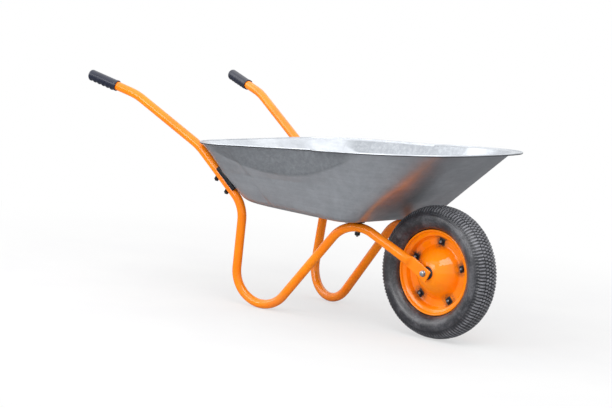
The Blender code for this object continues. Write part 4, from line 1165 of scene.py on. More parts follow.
    def build(self, finish: bpy.types.Material) -> None:
        """Make both tubes: a skin through the sections, given its wall, and mirrored.

        Args:
            finish: Their material.
        """
        line, shares = self.stations()
        last = len(line) - 1
        rings = []
        for index, (point, share) in enumerate(zip(line, shares)):
            back = (point - line[index - 1]).normalized() if index else None
            ahead = (line[index + 1] - point).normalized() if index < last else back
            back = back or ahead
            along = (back + ahead).normalized()
            through = square_to(along, LEFTWARD)
            across = through.cross(along) / max(along.dot(ahead), 0.5)
            rings.append([point + across * a + through * t for a, t in self.section(*share)])
        tube = Bench.skin("frame_tube_skin_left", rings)
        Bench.clean(tube)
        Bench.modify(tube, "SOLIDIFY", thickness=self.wall, offset=-1.0, use_even_offset=True)
        Bench.soften(tube, 40.0)
        Bench.set_down(tube, TO_FRAME)
        hang_both(tube, finish, "orange_paint", "frame_tube")

    @cached_property
    def arch_top(self) -> Vector:
        """The highest point of the centre line's arch.

        Returns:
            The point.
        """
        centre, start, end = self.bend(self.corners(self.drop), self.arch)
        up = square_to(start.cross(end).normalized(), UPWARD)
        return centre + up * self.bend_radii[self.arch]


@dataclass
class Grip:
    """A plastic grip: a sleeve with finger bumps below, a collar and a domed end."""

    tube: FrameTube
    length: float = 0.092
    radius: float = 0.01465
    cap: float = 0.004
    bumps: int = 6
    bump_height: float = 0.0027
    collar: float = 0.0009
    collar_start: float = 0.925
    collar_rise: float = 0.02
    dome_length: float = 0.006
    dome_depth: float = 0.004
    dome_stops: tuple[float, ...] = (0.0, 0.03, 0.1, 0.22, 0.4, 0.65)
    mouth: float = 0.0006
    mouth_depth: float = 0.002
    mouth_stops: tuple[float, ...] = (0.94, 0.95, 0.99, 0.998, 1.0)
    bump_powers: Pair = (0.7, 1.2)
    bump_steps: int = 72
    sides: int = 48

    def radius_at(self, along: float) -> float:
        """The sleeve's radius at a distance from its closed end.

        Args:
            along: The distance.

        Returns:
            The radius, with the collar and the dome.
        """
        share = along / (self.length + self.cap)
        dome = min(along / self.dome_length, 1.0)
        return (self.radius - self.dome_depth * (1.0 - math.sqrt(1.0 - (1.0 - dome) ** 2))
                + self.collar * eased(share, self.collar_start,
                                      self.collar_start + self.collar_rise))

    def build(self, finish: bpy.types.Material) -> None:
        """Make both grips.

        Args:
            finish: Their material.
        """
        way = (self.tube.handle_bend - self.tube.grip_end).normalized()
        start = self.tube.grip_end - way * self.cap
        through = square_to(way, LEFTWARD)
        up = way.cross(through)
        whole = self.length + self.cap
        bumps_end = whole * self.collar_start
        stops = [self.dome_length * share for share in self.dome_stops]
        stops += spread(self.dome_length, bumps_end, self.bump_steps)
        stops += [whole * share for share in self.mouth_stops]
        along_power, round_power = self.bump_powers
        rings = []
        for along in stops:
            wave = 0.5 - 0.5 * math.cos(2.0 * math.pi * self.bumps * min(along / bumps_end, 1.0))
            bump = self.bump_height * wave ** along_power
            radius = self.radius_at(along) - (self.mouth if along == stops[-1] else 0.0)
            reaches = [radius + bump * max(0.0, -math.sin(angle)) ** round_power
                       for angle in turns(self.sides)]
            rings.append(self.ring(start + way * along, through, up, reaches))
        inner = [self.tube.radius + self.mouth] * self.sides
        rings += [self.ring(start + way * along, through, up, inner)
                  for along in (whole, whole - self.mouth_depth, self.cap)]
        grip = Bench.skin("grip_sleeve_left", rings, ends=(True, True))
        Bench.clean(grip)
        Bench.soften(grip, 50.0)
        Bench.set_down(grip, TO_FRAME)
        hang_both(grip, finish, "grip_plastic", "grip")

    @staticmethod
    def ring(centre: Vector, through: Vector, up: Vector, reaches: Sequence[float]
             ) -> list[Vector]:
        """A ring round a centre, with a reach for each of its points."""
        return [centre + through * (reach * math.cos(angle)) + up * (reach * math.sin(angle))
                for reach, angle in zip(reaches, turns(len(reaches)))]


@dataclass
class Tray:
    """The stamped tray, with its rolled rim and its turned-out lip round the nose."""

    tube: FrameTube
    floor: float = 0.2887
    floor_front: float = -0.178
    floor_half_front: float = 0.195
    floor_half_rear: float = 0.190
    floor_corner: float = 0.036
    floor_edge: float = 0.024
    rim_slope: float = 0.0892
    rim_at_axle: float = 0.5063
    rim_half_rear: float = 0.312
    rear_flare: float = 1.5
    flat_shrink: float = 1.3  # the rear flat's loss for each unit of an inset
    rear_flats: Triple = (0.172, 0.0095, 0.154)  # floor, past the bolt, rim
    bolts_up: Pair = (0.06325, 0.11075)  # from the tube's lower bend, up its slope
    corner_lengths: Pair = (0.100, 0.170)  # at the floor and at the rim
    stand_off: float = 0.0125 + 0.0072 + 2.0 * GAP  # the tube's radius, the saddle, two gaps
    kink: Pair = (-0.262, 0.262)  # the rim's x and half width where the nose starts
    nose: float = 0.117
    nose_power: float = 3.0
    hem_width: float = 0.006
    lip_width: float = 0.028
    lip_blend: float = 0.030
    lip_drop: float = 0.0022
    bead: float = 0.0030
    crease_front: float = -0.112
    crease_high: float = 0.93
    crease_low: float = 0.60
    crease_plain: float = 0.78
    crease_power: float = 0.72
    crease_bulge: float = 0.009
    crease_fade: float = 3.0
    wall_cuts: Triple = (0.004, 0.009, 0.0022)  # middle, fold, foot of the rim
    wall_levels: Pair = (0.25, 0.5)
    wall_steps: int = 4
    floor_stops: Pair = (0.35, 0.7)
    floor_steps: int = 9
    crease_points: tuple[int, int] = (18, 26)  # from the fold up to the bend into the rim
    # The bead's last points get a painted shadow line.
    bead_shadow_points: int = 6  # the bead's last ones
    bent_power: float = 1.5
    nose_turns: Pair = (math.radians(28.0), math.radians(64.0))
    hem_foot: float = 0.0075
    lip_steps: int = 5
    bead_steps: int = 12
    bead_end: float = math.radians(-150.0)
    counts: tuple[int, ...] = (6, 20, 26, 24, 12)  # steps in the rear, corner, side, nose, front

    def rim(self, x: float) -> float:
        """The height of the rim plane."""
        return self.rim_at_axle + self.rim_slope * x

    @property
    def wall(self) -> tuple[Vector, Vector]:
        """A point on the rear wall's outer face, and the wall's normal into the tray.

        Returns:
            The point and the normal.
        """
        run = self.tube.upper_bend - self.tube.lower_bend
        slope = Vector((run.x, 0.0, run.z)).normalized()
        normal = Vector((slope.z, 0.0, -slope.x))
        return self.tube.lower_bend + normal * self.stand_off, normal

    def rear_edges(self) -> Pair:
        """Where the rear wall's inner face meets the floor and the rim plane.

        Returns:
            The x of the lower edge and of the upper one.
        """
        point, normal = self.wall
        inner = point + normal * SHEET
        low = inner.x - (self.floor + SHEET - inner.z) * normal.z / normal.x
        high = ((inner.x * normal.x + inner.z * normal.z - self.rim_at_axle * normal.z)
                / (normal.x + self.rim_slope * normal.z))
        return low, high

    def bolt_point(self, up: float) -> Vector:
        """The rear wall's inner face at a left bolt, a distance up the tube's slope.

        Args:
            up: The distance from the tube's lower bend.

        Returns:
            The point.
        """
        _, normal = self.wall
        run = (self.tube.upper_bend - self.tube.lower_bend).normalized()
        return self.tube.lower_bend + normal * (self.stand_off + SHEET) + run * up

    def rear_flat(self, share: float) -> float:
        """Half the rear wall's flat, which is widest at the upper bolts.

        Args:
            share: The share of the way from the floor to the rim.

        Returns:
            The flat's half width.
        """
        bolt = self.bolt_point(self.bolts_up[1])
        base = self.floor + SHEET
        middle = (bolt.z - base) / (self.rim(self.rear_edges()[1]) - base)
        at_floor, past_bolt, at_rim = self.rear_flats
        return (at_floor * (share - middle) * (share - 1.0) / middle
                + (bolt.y + past_bolt) * share * (1.0 - share) / (middle * (1.0 - middle))
                + at_rim * share * (share - middle) / (1.0 - middle))

    def rear_part(self, share: float, inset: float = 0.0) -> list[Pair]:
        """The outline's rear edge and its elliptical corner.

        Args:
            share: The share of the way from the floor to the rim.
            inset: How far inside the outline the line runs.

        Returns:
            The line's points in plan.
        """
        low, high = self.rear_edges()
        rear = low + (high - low) * share + inset
        half = (self.floor_half_rear + (self.rim_half_rear - self.floor_half_rear)
                * share ** self.rear_flare - inset)
        flat = self.rear_flat(share) - inset * self.flat_shrink
        length = self.corner_lengths[0] + (self.corner_lengths[1] - self.corner_lengths[0]) * share
        edge, corner = self.counts[:2]
        points = [(rear, y) for y in spread(0.0, flat, edge)]
        points += [(rear + length * (1.0 - math.cos(angle)),
                    flat + (half - flat) * math.sin(angle))
                   for angle in spread(0.0, math.pi / 2.0, corner)[1:]]
        return points

    @staticmethod
    def straight(start: Pair, end: Pair, count: int) -> list[Pair]:
        """Points on a line, without its first."""
        return list(zip(spread(start[0], end[0], count), spread(start[1], end[1], count)))[1:]

    def floor_half(self, inset: float) -> list[Pair]:
        """The left half of the floor's outline, brought in by an inset.

        Args:
            inset: How far inside the outline the line runs.

        Returns:
            The line's points in plan, from the rear to the front.
        """
        front, half = self.floor_front - inset, self.floor_half_front - inset
        corner = self.floor_corner + inset / 2.0
        _, _, side, nose, edge = self.counts
        points = self.rear_part(0.0, inset)
        points += self.straight(points[-1], (front - corner, half), side)
        points += [(front - corner + corner * math.cos(angle),
                    half - corner + corner * math.sin(angle))
                   for angle in spread(math.pi / 2.0, 0.0, nose)[1:]]
        return points + self.straight(points[-1], (front, 0.0), edge)

    def nose_point(self, angle: float) -> Pair:
        """A point of the nose's outline, from the kink (0) to the middle (90 degrees).

        Args:
            angle: How far round the nose the point is.

        Returns:
            The point in plan.
        """
        power = 2.0 / self.nose_power
        x, half = self.kink
        return (x + (self.nose - x) * math.sin(angle) ** power,
                half * max(math.cos(angle), 0.0) ** power)

    def rim_half(self) -> list[Pair]:
        """The left half of the wall's top edge.

        Returns:
            The edge's points in plan, from the rear to the front.
        """
        _, _, side, nose, edge = self.counts
        points = self.rear_part(1.0)
        bent = side // 3
        points += self.straight(points[-1], self.kink, side - bent)
        low, high = self.nose_turns
        angles = [low * share ** self.bent_power for share in spread(0.0, 1.0, bent)[1:]]
        angles += spread(low, high, nose)[1:] + spread(high, math.pi / 2.0, edge)[1:]
        return points + [self.nose_point(angle) for angle in angles]

    @staticmethod
    def full(half: Sequence[Pair]) -> list[Pair]:
        """Both halves of a symmetric outline."""
        return list(half) + [(x, -y) for x, y in reversed(half[1:-1])]

    def level(self, low: Sequence[Pair], high: Sequence[Pair], share: float) -> list[Pair]:
        """The whole outline at a share of the way from the floor to the rim.

        Args:
            low: The floor's half outline.
            high: The rim's half outline.
            share: The share of the way.

        Returns:
            The outline's points in plan.
        """
        rear = self.rear_part(share)
        rest = [(a[0] + (b[0] - a[0]) * share, a[1] + (b[1] - a[1]) * share)
                for a, b in zip(low[len(rear):], high[len(rear):])]
        return self.full(rear + rest)

    def crease(self, low: Sequence[Pair], high: Sequence[Pair], place: float
               ) -> tuple[list[Pair], float, float]:
        """The crease's outline for one place along the side.

        Args:
            low: The floor's half outline.
            high: The rim's half outline.
            place: The rim's x there.

        Returns:
            The outline at the crease's share, that share, and the crease's depth (0 to 1).
        """
        start = self.corner_lengths[1] / 2.0 + self.rear_edges()[1]
        along = min(max((place - start) / (self.crease_front - start), 0.0), 1.0)
        dip = math.sin(math.pi * along) ** self.crease_power
        share = (self.crease_high - (self.crease_high - self.crease_low) * dip
                 if dip > 0.0 else self.crease_plain)
        return self.level(low, high, share), share, dip

    def columns(self) -> tuple[list[list[Vector]], list[float]]:
        """The inner face's lines, each from the floor up the wall and over the rim.

        Returns:
            The lines, and how deep the pressed crescent is on each (0 to 1).
        """
        low, high = self.floor_half(0.0), self.rim_half()
        rim = self.full(high)
        inner = self.full(self.floor_half(self.floor_edge))
        edge = self.full(low)
        count = len(rim)
        base = self.floor + SHEET
        levels = [(share, self.level(low, high, share)) for share in self.wall_levels]
        middle = Vector(((min(inner)[0] + max(inner)[0]) / 2.0, 0.0, base))
        cache: dict[float, tuple[list[Pair], float, float]] = {}
        lines, dips = [], []
        for index, (x, y) in enumerate(rim):
            before, after = rim[index - 1], rim[(index + 1) % count]
            run = Vector((after[0] - before[0], after[1] - before[1])).normalized()
            normal = Vector((-run.y, run.x))
            key = round(x, 7)
            if key not in cache:
                cache[key] = self.crease(low, high, x)
            outline, share, dip = cache[key]
            fold = Vector((outline[index][0] + normal.x * self.crease_bulge * dip,
                           outline[index][1] + normal.y * self.crease_bulge * dip,
                           base + (self.rim(x) - base) * share))
            walls = [Vector((flat[index][0], flat[index][1], base + (self.rim(x) - base) * part))
                     for part, flat in levels]
            start = Vector((*inner[index], base))
            corner = Vector((*edge[index], base))
            up = corner + (walls[0] - corner).normalized() * self.floor_edge
            line = [middle.lerp(start, part) for part in self.floor_stops]
            line += parabola(start, corner, up, self.floor_steps)
            top = Vector((x, y, self.rim(x)))
            lean = (top - fold).normalized()
            width = (self.hem_width + (self.lip_width - self.hem_width)
                     * eased(x, self.kink[0], self.kink[0] + self.lip_blend))
            rest = self.over_the_rim(top, lean, normal, width)
            turn = rounded([*walls, fold, *rest[:2]], self.wall_cuts, self.wall_steps)
            lines.append(line + turn[1:-1] + rest[1:])
            dips.append(dip)
        return lines, dips

    def over_the_rim(self, top: Vector, lean: Vector, normal: Vector, width: float
                     ) -> list[Vector]:
        """One column's line from the wall's top over the rim and round its bead.

        Args:
            top: Where the wall meets the rim plane.
            lean: The wall's way up.
            normal: The way out, in plan.
            width: How wide the rim is.

        Returns:
            The line's points, from the wall to the bead's rolled-under edge.
        """
        flat = width - 2.0 * self.bead
        lip = min(flat / (self.lip_width - 2.0 * self.bead), 1.0)
        foot = -self.hem_foot + (self.hem_foot - self.lip_drop) * lip
        head = -self.bead + (self.bead - self.lip_drop) * lip
        points = [top + lean * (foot / lean.z)]
        shift = points[0] - top
        for share in spread(0.0, 1.0, self.lip_steps)[1:]:
            rise = foot + (head - foot) * share
            points.append(self.on_rim(top, normal, flat * share, rise)
                          + Vector((shift.x, shift.y, 0.0)) * (1.0 - share) * (1.0 - lip))
        centre = flat + self.bead
        first = math.pi - math.asin(max(min((head + self.bead) / self.bead, 1.0), -1.0))
        for angle in spread(first, self.bead_end, self.bead_steps):
            points.append(self.on_rim(top, normal, centre + self.bead * math.cos(angle),
                                      -self.bead + self.bead * math.sin(angle)))
        return points

    def on_rim(self, top: Vector, normal: Vector, out: float, rise: float) -> Vector:
        """A point beside the rim's edge, out from it in plan and above the rim plane."""
        x, y = top.x + normal.x * out, top.y + normal.y * out
        return Vector((x, y, self.rim(x) + rise))

    def build(self, finish: bpy.types.Material) -> None:
        """Make the tray.

        Args:
            finish: Its material.
        """
        lines, dips = self.columns()
        rings = [list(ring) for ring in zip(*lines)]
        tray = Bench.skin("tray_shell", rings, ends=(True, False))
        Bench.clean(tray, 0.00001)
        floor = max(tray.data.polygons, key=lambda face: face.area)
        if floor.normal.z < 0.0:
            tray.data.flip_normals()
        Bench.modify(tray, "SOLIDIFY", thickness=SHEET, offset=-1.0, use_even_offset=False)
        Bench.soften(tray, 40.0)
        # The crescents' marks: a rougher stamped finish and painted shade.
        Bench.mark(tray, "pressed", self.crescent_marks(lines, dips))
        # The bead's rolled-under edge gets a painted shadow line.
        Bench.mark(tray, "tucked",
                   [(point, 1.0 if index >= len(line) - self.bead_shadow_points else 0.0)
                    for line in lines for index, point in enumerate(line)])
        Bench.set_down(tray, TO_FRAME)
        hang(tray, Body.FRAME, finish, "tray_sheet", "tray")

    def crescent_marks(self, lines: Sequence[Sequence[Vector]], dips: Sequence[float]
                       ) -> list[tuple[Vector, float]]:
        """Where the crescents darken the sheet's finish, partly for a rougher stamped finish and
        partly as painted shade.

        Args:
            lines: The inner face's lines.
            dips: How deep the crescent is on each line.

        Returns:
            Places, each with 1 on a crescent and 0 off it.
        """
        first, last = self.crease_points
        marks = []
        for line, dip in zip(lines, dips):
            for index, point in enumerate(line):
                inside = (index - first + 1) / 2.0
                share = min(max(inside, 0.0), 1.0) if index <= last else 0.0
                marks.append((point, share * min(dip * self.crease_fade, 1.0)))
        return marks


@dataclass
class Mounting:
    """The saddles, the pads and the bolts that hold the tray on the tubes."""

    tube: FrameTube
    tray: Tray
    saddle_length: float = 0.079
    saddle_crown: float = 0.0072
    saddle_wing: float = 0.0115
    saddle_half: float = 0.0155
    saddle_bevel: float = 0.0016
    front_back: float = 0.002  # how far behind the arch's crest the front bolt is
    arch_sag: float = 0.0007
    pad_thickness: float = 0.0030
    pad_behind: float = 0.035
    pad_before: float = 0.012
    pad_width: float = 0.027
    pad_bevel: float = 0.0009
    seat_steps: int = 24
    bolt: float = 0.0035
    bolt_tip: float = 0.005
    nut: float = 0.0075
    nut_height: float = 0.0065
    head: float = 0.0068
    head_height: float = 0.0034
    washer: float = 0.0078
    washer_height: float = 0.0016

    def rear_places(self) -> list[Matrix]:
        """The left rear bolts' places on the rear wall's inner face, Z into the tray."""
        _, normal = self.tray.wall
        return [facing(self.tray.bolt_point(up), normal) for up in self.tray.bolts_up]

    def front_place(self) -> Matrix:
        """The left front bolt's place on the floor's upper face, Z up."""
        top = self.tube.arch_top
        return Matrix.Translation((top.x - self.front_back, top.y, self.tray.floor + SHEET))

    def build_saddles(self, finish: bpy.types.Material) -> None:
        """Make the saddles under the rear wall.

        Args:
            finish: Their material.
        """
        _, normal = self.tray.wall
        run = (self.tube.upper_bend - self.tube.lower_bend).normalized()
        seat = self.tube.radius + GAP
        crown = seat + self.saddle_crown
        wing = crown - self.saddle_wing
        lean = math.asin(wing / seat)
        outline = [(seat * math.cos(angle), seat * math.sin(angle))
                   for angle in spread(lean, math.pi - lean, self.seat_steps)]
        outline += [(-self.saddle_half, wing), (-self.saddle_half, crown),
                    (self.saddle_half, crown), (self.saddle_half, wing)]
        saddle = Bench.slab("saddle_block_left", outline, self.saddle_length)
        Bench.bevel(saddle, self.saddle_bevel, 3)
        Bench.soften(saddle)
        side = normal.cross(run).normalized()
        turn = Matrix((side, run.cross(side), run)).transposed().to_4x4()
        centre = self.tube.lower_bend + run * (sum(self.tray.bolts_up) / 2.0)
        Bench.set_down(saddle, TO_FRAME @ Matrix.Translation(centre) @ turn)
        hang_both(saddle, finish, "bracket_paint", "saddle")

    def build_pads(self, finish: bpy.types.Material) -> None:
        """Make the pads between the arches and the floor.

        Args:
            finish: Their material.
        """
        top = self.tube.arch_top
        seat = self.tube.radius + GAP
        reach = self.tube.bend_radii[self.tube.arch] + seat
        front = self.pad_before - self.front_back
        back = front - self.pad_behind - self.pad_before
        outline = [(x, seat + math.sqrt(reach * reach - x * x) - reach)
                   for x in spread(front, back, self.seat_steps)]
        outline += [(back, seat + self.pad_thickness), (front, seat + self.pad_thickness)]
        pad = Bench.slab("pad_block_left", outline, self.pad_width)
        Bench.bevel(pad, self.pad_bevel)
        Bench.soften(pad)
        Bench.set_down(pad, TO_FRAME @ Matrix.Translation(top)
                       @ Matrix.Rotation(math.pi / 2.0, 4, "X"))
        hang_both(pad, finish, "bracket_paint", "front_pad")

    def build_fasteners(self, looks: Finishes) -> None:
        """Make the tray's bolts, washers and nuts.

        Args:
            looks: The barrow's finishes.
        """
        common = SHEET + 2.0 * GAP + 2.0 * self.tube.radius
        stacks = {"rear": common + self.saddle_crown,
                  "front": common + self.pad_thickness + self.arch_sag}
        extra = self.washer_height + self.nut_height + self.bolt_tip
        bolts = {name: Fastener.bolt(name, stack + extra, self.bolt, self.head,
                                     self.head_height) for name, stack in stacks.items()}
        nut = Fastener.nut("tray", self.nut, self.nut_height, self.bolt + GAP)
        washer = Fastener.washer("tray", self.washer, self.washer_height, self.bolt + GAP)
        lower, upper = self.rear_places()
        rows = (("rear", "_lower", lower), ("rear", "_upper", upper),
                ("front", "", self.front_place()))
        for side in Side:
            for end, level, place in rows:
                row = f"{end}{level}_{side.word}"
                seat = side.mirror @ TO_FRAME @ place
                under = -stacks[end] - 2.0 * GAP - self.washer_height
                parts = ((bolts[end], "bolt", GAP, looks.zinc, "zinc_fastener"),
                         (washer, "washer", under, looks.black, "black_fastener"),
                         (nut, "nut", under - GAP - self.nut_height, looks.black,
                          "black_fastener"))
                for pattern, kind, shift, look, slot in parts:
                    made = Bench.copy(pattern, f"{kind}_{row}", seat @ lifted(shift))
                    hang(made, Body.FRAME, look, slot, f"tray_{kind}_{row}")
        Bench.scrap(*bolts.values(), nut, washer)


class Fastener:
    """Patterns of bolts, nuts and washers, along Z."""

    pitch = 0.0012
    tip = 0.001  # the tapered end of a shank
    over = 0.001  # how far a tool reaches past what it cuts
    steps = 28

    @classmethod
    def shank(cls, radius: float, start: float, length: float) -> list[Pair]:
        """A threaded shank's line as (radius, height), from start down to the axis at its end.

        Args:
            radius: Its radius.
            start: Where its thread starts.
            length: How far down its end is.

        Returns:
            The line's points.
        """
        end = cls.tip - length
        count = max(int((start - end) / cls.pitch), 1)
        step = (start - end) / count
        points = []
        for height in spread(start, end, count)[:-1]:
            points += [(radius, height - step * 0.15), (radius, height - step * 0.35),
                       (radius * 0.90, height - step * 0.65),
                       (radius * 0.90, height - step * 0.8)]
        return points + [(radius * 0.8, -length), (0.0, -length)]

    @classmethod
    def bolt(cls, name: str, length: float, radius: float, head: float, height: float
             ) -> bpy.types.Object:
        """A round-headed bolt whose head sits on the origin.

        Args:
            name: The pattern's name.
            length: The shank's length.
            radius: The shank's radius.
            head: The head's radius.
            height: The head's height.

        Returns:
            The pattern.
        """
        profile = [(head * math.sin(angle), height * (0.18 + 0.82 * math.cos(angle)))
                   for angle in spread(0.0, math.pi / 2.0, 8)]
        profile += [(head, 0.0), (radius, 0.0)] + cls.shank(radius, -0.004, length)
        made = Bench.spun(f"{name}_bolt_pattern", profile, cls.steps, closed=False)
        Bench.soften(made)
        return made

    @staticmethod
    def hex_body(name: str, corner: float, low: float, high: float, chamfer: float
                 ) -> bpy.types.Object:
        """A hexagon whose ends are chamfered round.

        Args:
            name: The piece's name.
            corner: The hexagon's radius to its corners.
            low: Its lower end.
            high: Its upper end.
            chamfer: How deep the chamfer is at the corners.

        Returns:
            The piece.
        """
        bpy.ops.object.select_all(action="DESELECT")
        bpy.ops.mesh.primitive_cylinder_add(vertices=6, radius=corner, depth=high - low,
                                            location=(0.0, 0.0, (low + high) / 2.0))
        made = bpy.context.object
        made.name = name
        bpy.ops.object.transform_apply(location=True, rotation=True, scale=True)
        face = corner * math.cos(math.pi / 6.0) * 0.97
        clear = corner * 1.01
        tool = Bench.spun("chamfer", [(0.0, low), (face, low), (clear, low + chamfer),
                                      (clear, high - chamfer), (face, high), (0.0, high)],
                          36, closed=False)
        Bench.cut(made, tool, "INTERSECT")
        return made

    @classmethod
    def nut(cls, name: str, corner: float, height: float, bore: float) -> bpy.types.Object:
        """A hexagon nut on the origin, with a countersunk bore.

        Args:
            name: The pattern's name.
            corner: Its radius to the corners.
            height: Its height.
            bore: The bore's radius.

        Returns:
            The pattern.
        """
        made = cls.hex_body(f"{name}_nut_pattern", corner, 0.0, height, height * 0.12)
        sink = bore * 0.16
        low, high, wide = -cls.over, height + cls.over, bore + sink + cls.over
        tool = Bench.spun("bore", [(0.0, low), (wide, low), (bore, sink), (bore, height - sink),
                                   (wide, high), (0.0, high)], cls.steps, closed=False)
        Bench.cut(made, tool)
        Bench.soften(made)
        return made

    @classmethod
    def plate_nut(cls, name: str, corner: float, height: float, bore: float, side: float,
                  thickness: float) -> bpy.types.Object:
        """A hexagon nut that is one with a square plate under it.

        Args:
            name: The pattern's name.
            corner: The hexagon's radius to its corners.
            height: The height of both together.
            bore: The bore's radius.
            side: The plate's side.
            thickness: The plate's thickness.

        Returns:
            The pattern, as one closed body.
        """
        sunk = thickness / 2.0
        made = cls.nut(name, corner, height - sunk, bore)
        made.data.transform(lifted(sunk))
        half = side / 2.0
        plate = Bench.slab("plate", [(half, half), (-half, half), (-half, -half), (half, -half)],
                           thickness)
        plate.data.transform(lifted(thickness / 2.0))
        Bench.bevel(plate, 0.0005)
        Bench.cut(plate, Bench.drill(bore + 0.0001, -cls.over, thickness + cls.over, cls.steps))
        Bench.cut(made, plate, "UNION")
        Bench.soften(made)
        return made

    @staticmethod
    def washer(name: str, radius: float, height: float, bore: float) -> bpy.types.Object:
        """A flat washer on the origin, with rounded rims.

        Args:
            name: The pattern's name.
            radius: Its outer radius.
            height: Its thickness.
            bore: Its hole's radius.

        Returns:
            The pattern.
        """
        made = Bench.spun(f"{name}_washer_pattern",
                          ring_section(bore, radius, 0.0, height, height * 0.25), 40)
        Bench.soften(made)
        return made

    @classmethod
    def hex_bolt(cls, name: str, length: float, radius: float, corner: float, height: float
                 ) -> bpy.types.Object:
        """A hexagon bolt whose head sits on the origin.

        Args:
            name: The pattern's name.
            length: How far the shank reaches below the head.
            radius: The shank's radius.
            corner: The head's radius to its corners.
            height: The head's height.

        Returns:
            The pattern, as one closed body.
        """
        head = cls.hex_body(f"{name}_bolt_pattern", corner, 0.0, height, height * 0.14)
        profile = [(0.0, height * 0.5), (radius, height * 0.5), (radius, -0.003)]
        profile += cls.shank(radius, -0.003, length)
        Bench.cut(head, Bench.spun("shank", profile, cls.steps, closed=False), "UNION")
        Bench.soften(head)
        return head


@dataclass
class Wheel:
    """The rim halves and their bolts, the bearings' outer parts, the axle and the valve's cap."""

    sheet: float = 0.002
    flange: float = 0.116
    half_width: float = 0.0255
    roll: float = 0.0030
    flange_thin: float = 0.3
    flange_cut: float = 0.0005
    seat: float = 0.0990
    joint: float = 0.0945
    seat_cuts: tuple[float, ...] = (0.0014, 0.0012, 0.0009, 0.0011, 0.0018, 0.0014, 0.0009,
                                    0.0007)
    dome: float = 0.073
    dome_cut: float = 0.0008
    cup_cuts: tuple[float, ...] = (0.0012, 0.0016, 0.0014, 0.0012)
    bolt_circle: float = 0.0837
    phase: float = math.radians(15.7)
    bearing: float = 0.0175
    bearing_bore: float = 0.0078
    bearing_split: float = 0.0106
    bearing_width: float = 0.011
    bearing_place: float = 0.0383
    seal: float = 0.0015
    axle: float = 0.004
    axle_hole: float = 0.0045
    bush: float = 0.0098
    track: float = 0.0645
    plate: float = 0.0045
    axle_nut: float = 0.0076
    axle_nut_height: float = 0.0065
    axle_head: float = 0.0053
    axle_washer: Pair = (0.0087, 0.0016)
    axle_tip: float = 0.006
    rim_nut: Pair = (0.0060, 0.0065)
    rim_nut_plate: Pair = (0.0182, 0.0018)
    rim_nut_turns: tuple[float, ...] = (5.0, -8.0, 7.0, -5.0, 8.0)
    rim_bolt: float = 0.0035
    rim_head: Pair = (0.0061, 0.0050)
    rim_bolt_tip: float = 0.003
    shank_spare: float = 0.001  # what a shank is shorter than its stack, its nut and its tip
    valve_angle: float = math.radians(195.7)
    valve_start: float = 0.1045
    valve_out: float = 0.0068
    valve_tilt: float = math.radians(20.0)
    valve_radius: float = 0.0036
    valve_length: float = 0.027
    cap_length: float = 0.009
    cap_top: float = 0.0020
    cap_ribs: int = 20
    rim_soften: float = 28.0

    def profile(self) -> list[Pair]:
        """The outer face of a rim half, from the bearing's hole to the flange.

        Returns:
            The line as (radius, distance from the wheel's middle) pairs.
        """
        seat = self.bearing + GAP
        shoulder = self.bearing_place - GAP
        mouth = shoulder + self.bearing_width + 0.0012
        joint = self.sheet + GAP / 2.0
        # The bearing's cup and its rounded mouth.
        points = [(self.bearing_split + 0.0030, shoulder), (seat, shoulder), (seat, mouth),
                  (seat + 0.0030, mouth + 0.0012), (seat + 0.0065, mouth - 0.0005)]
        # The domed disc, down to the flat ring where the halves meet.
        start, end = points[-1], (self.dome, joint + 0.0015)
        for share in spread(0.0, 1.0, 12)[1:-1]:
            points.append((start[0] + (end[0] - start[0]) * share,
                           end[1] + (start[1] - end[1]) * (1.0 - share ** 1.5)))
        points += [end, (self.dome + 0.003, joint), (self.joint - 0.003, joint),
                   (self.joint, joint + 0.002)]
        # The tyre's bead seat and the side of the rim.
        points += [(self.seat, self.half_width - 0.0100),
                   (self.seat + 0.0040, self.half_width - 0.0078),
                   (self.flange - 0.0085, self.half_width - 0.0063),
                   (self.flange - 0.0066, self.half_width - 0.0038)]
        # The flange's rolled edge.
        for angle in spread(math.radians(140.0), math.radians(-14.0), 7):
            points.append((self.flange - self.roll + self.roll * math.cos(angle),
                           self.half_width - 0.0027 + self.roll * math.sin(angle)))
        return points

    def section(self) -> list[Pair]:
        """The rim half's closed section, with rounded bends and a rolled flange.

        Returns:
            The section as (radius, distance from the wheel's middle) pairs.
        """
        line = [Vector((radius, across, 0.0)) for radius, across in self.profile()]
        cuts = [*self.cup_cuts, *[self.dome_cut] * 11, *self.seat_cuts]
        cuts += [self.flange_cut] * (len(line) - 2 - len(cuts))
        smooth = rounded(line, cuts, 4)
        inner = []
        last = len(smooth) - 1
        for index, point in enumerate(smooth):
            run = smooth[min(index + 1, last)] - smooth[max(index - 1, 0)]
            side = Vector((run.y, -run.x, 0.0)).normalized()
            thickness = self.sheet * (1.0 - self.flange_thin * eased(
                point.x, self.flange - 0.0075, self.flange - 0.0045))
            inner.append(point + side * thickness)
        tip, under = smooth[-1], inner[-1]
        middle = (tip + under) / 2.0
        nose = middle + (tip - smooth[-2]).normalized() * self.sheet * 0.25
        return [(p.x, p.y) for p in smooth + [nose] + list(reversed(inner))]

    def on_axle(self, side: Side, angle: float = 0.0, circle: float = 0.0) -> Matrix:
        """A place on the wheel with Z out to a side, at an angle round the axle.

        Args:
            side: The side that Z points to.
            angle: Its angle round the axle.
            circle: Its distance from the axle.

        Returns:
            The place.
        """
        out = Matrix.Rotation(math.pi / 2.0 * -side.value, 4, "X")
        return (TO_AXLE @ Matrix.Translation((circle * math.cos(angle), 0.0,
                                              circle * math.sin(angle))) @ out)

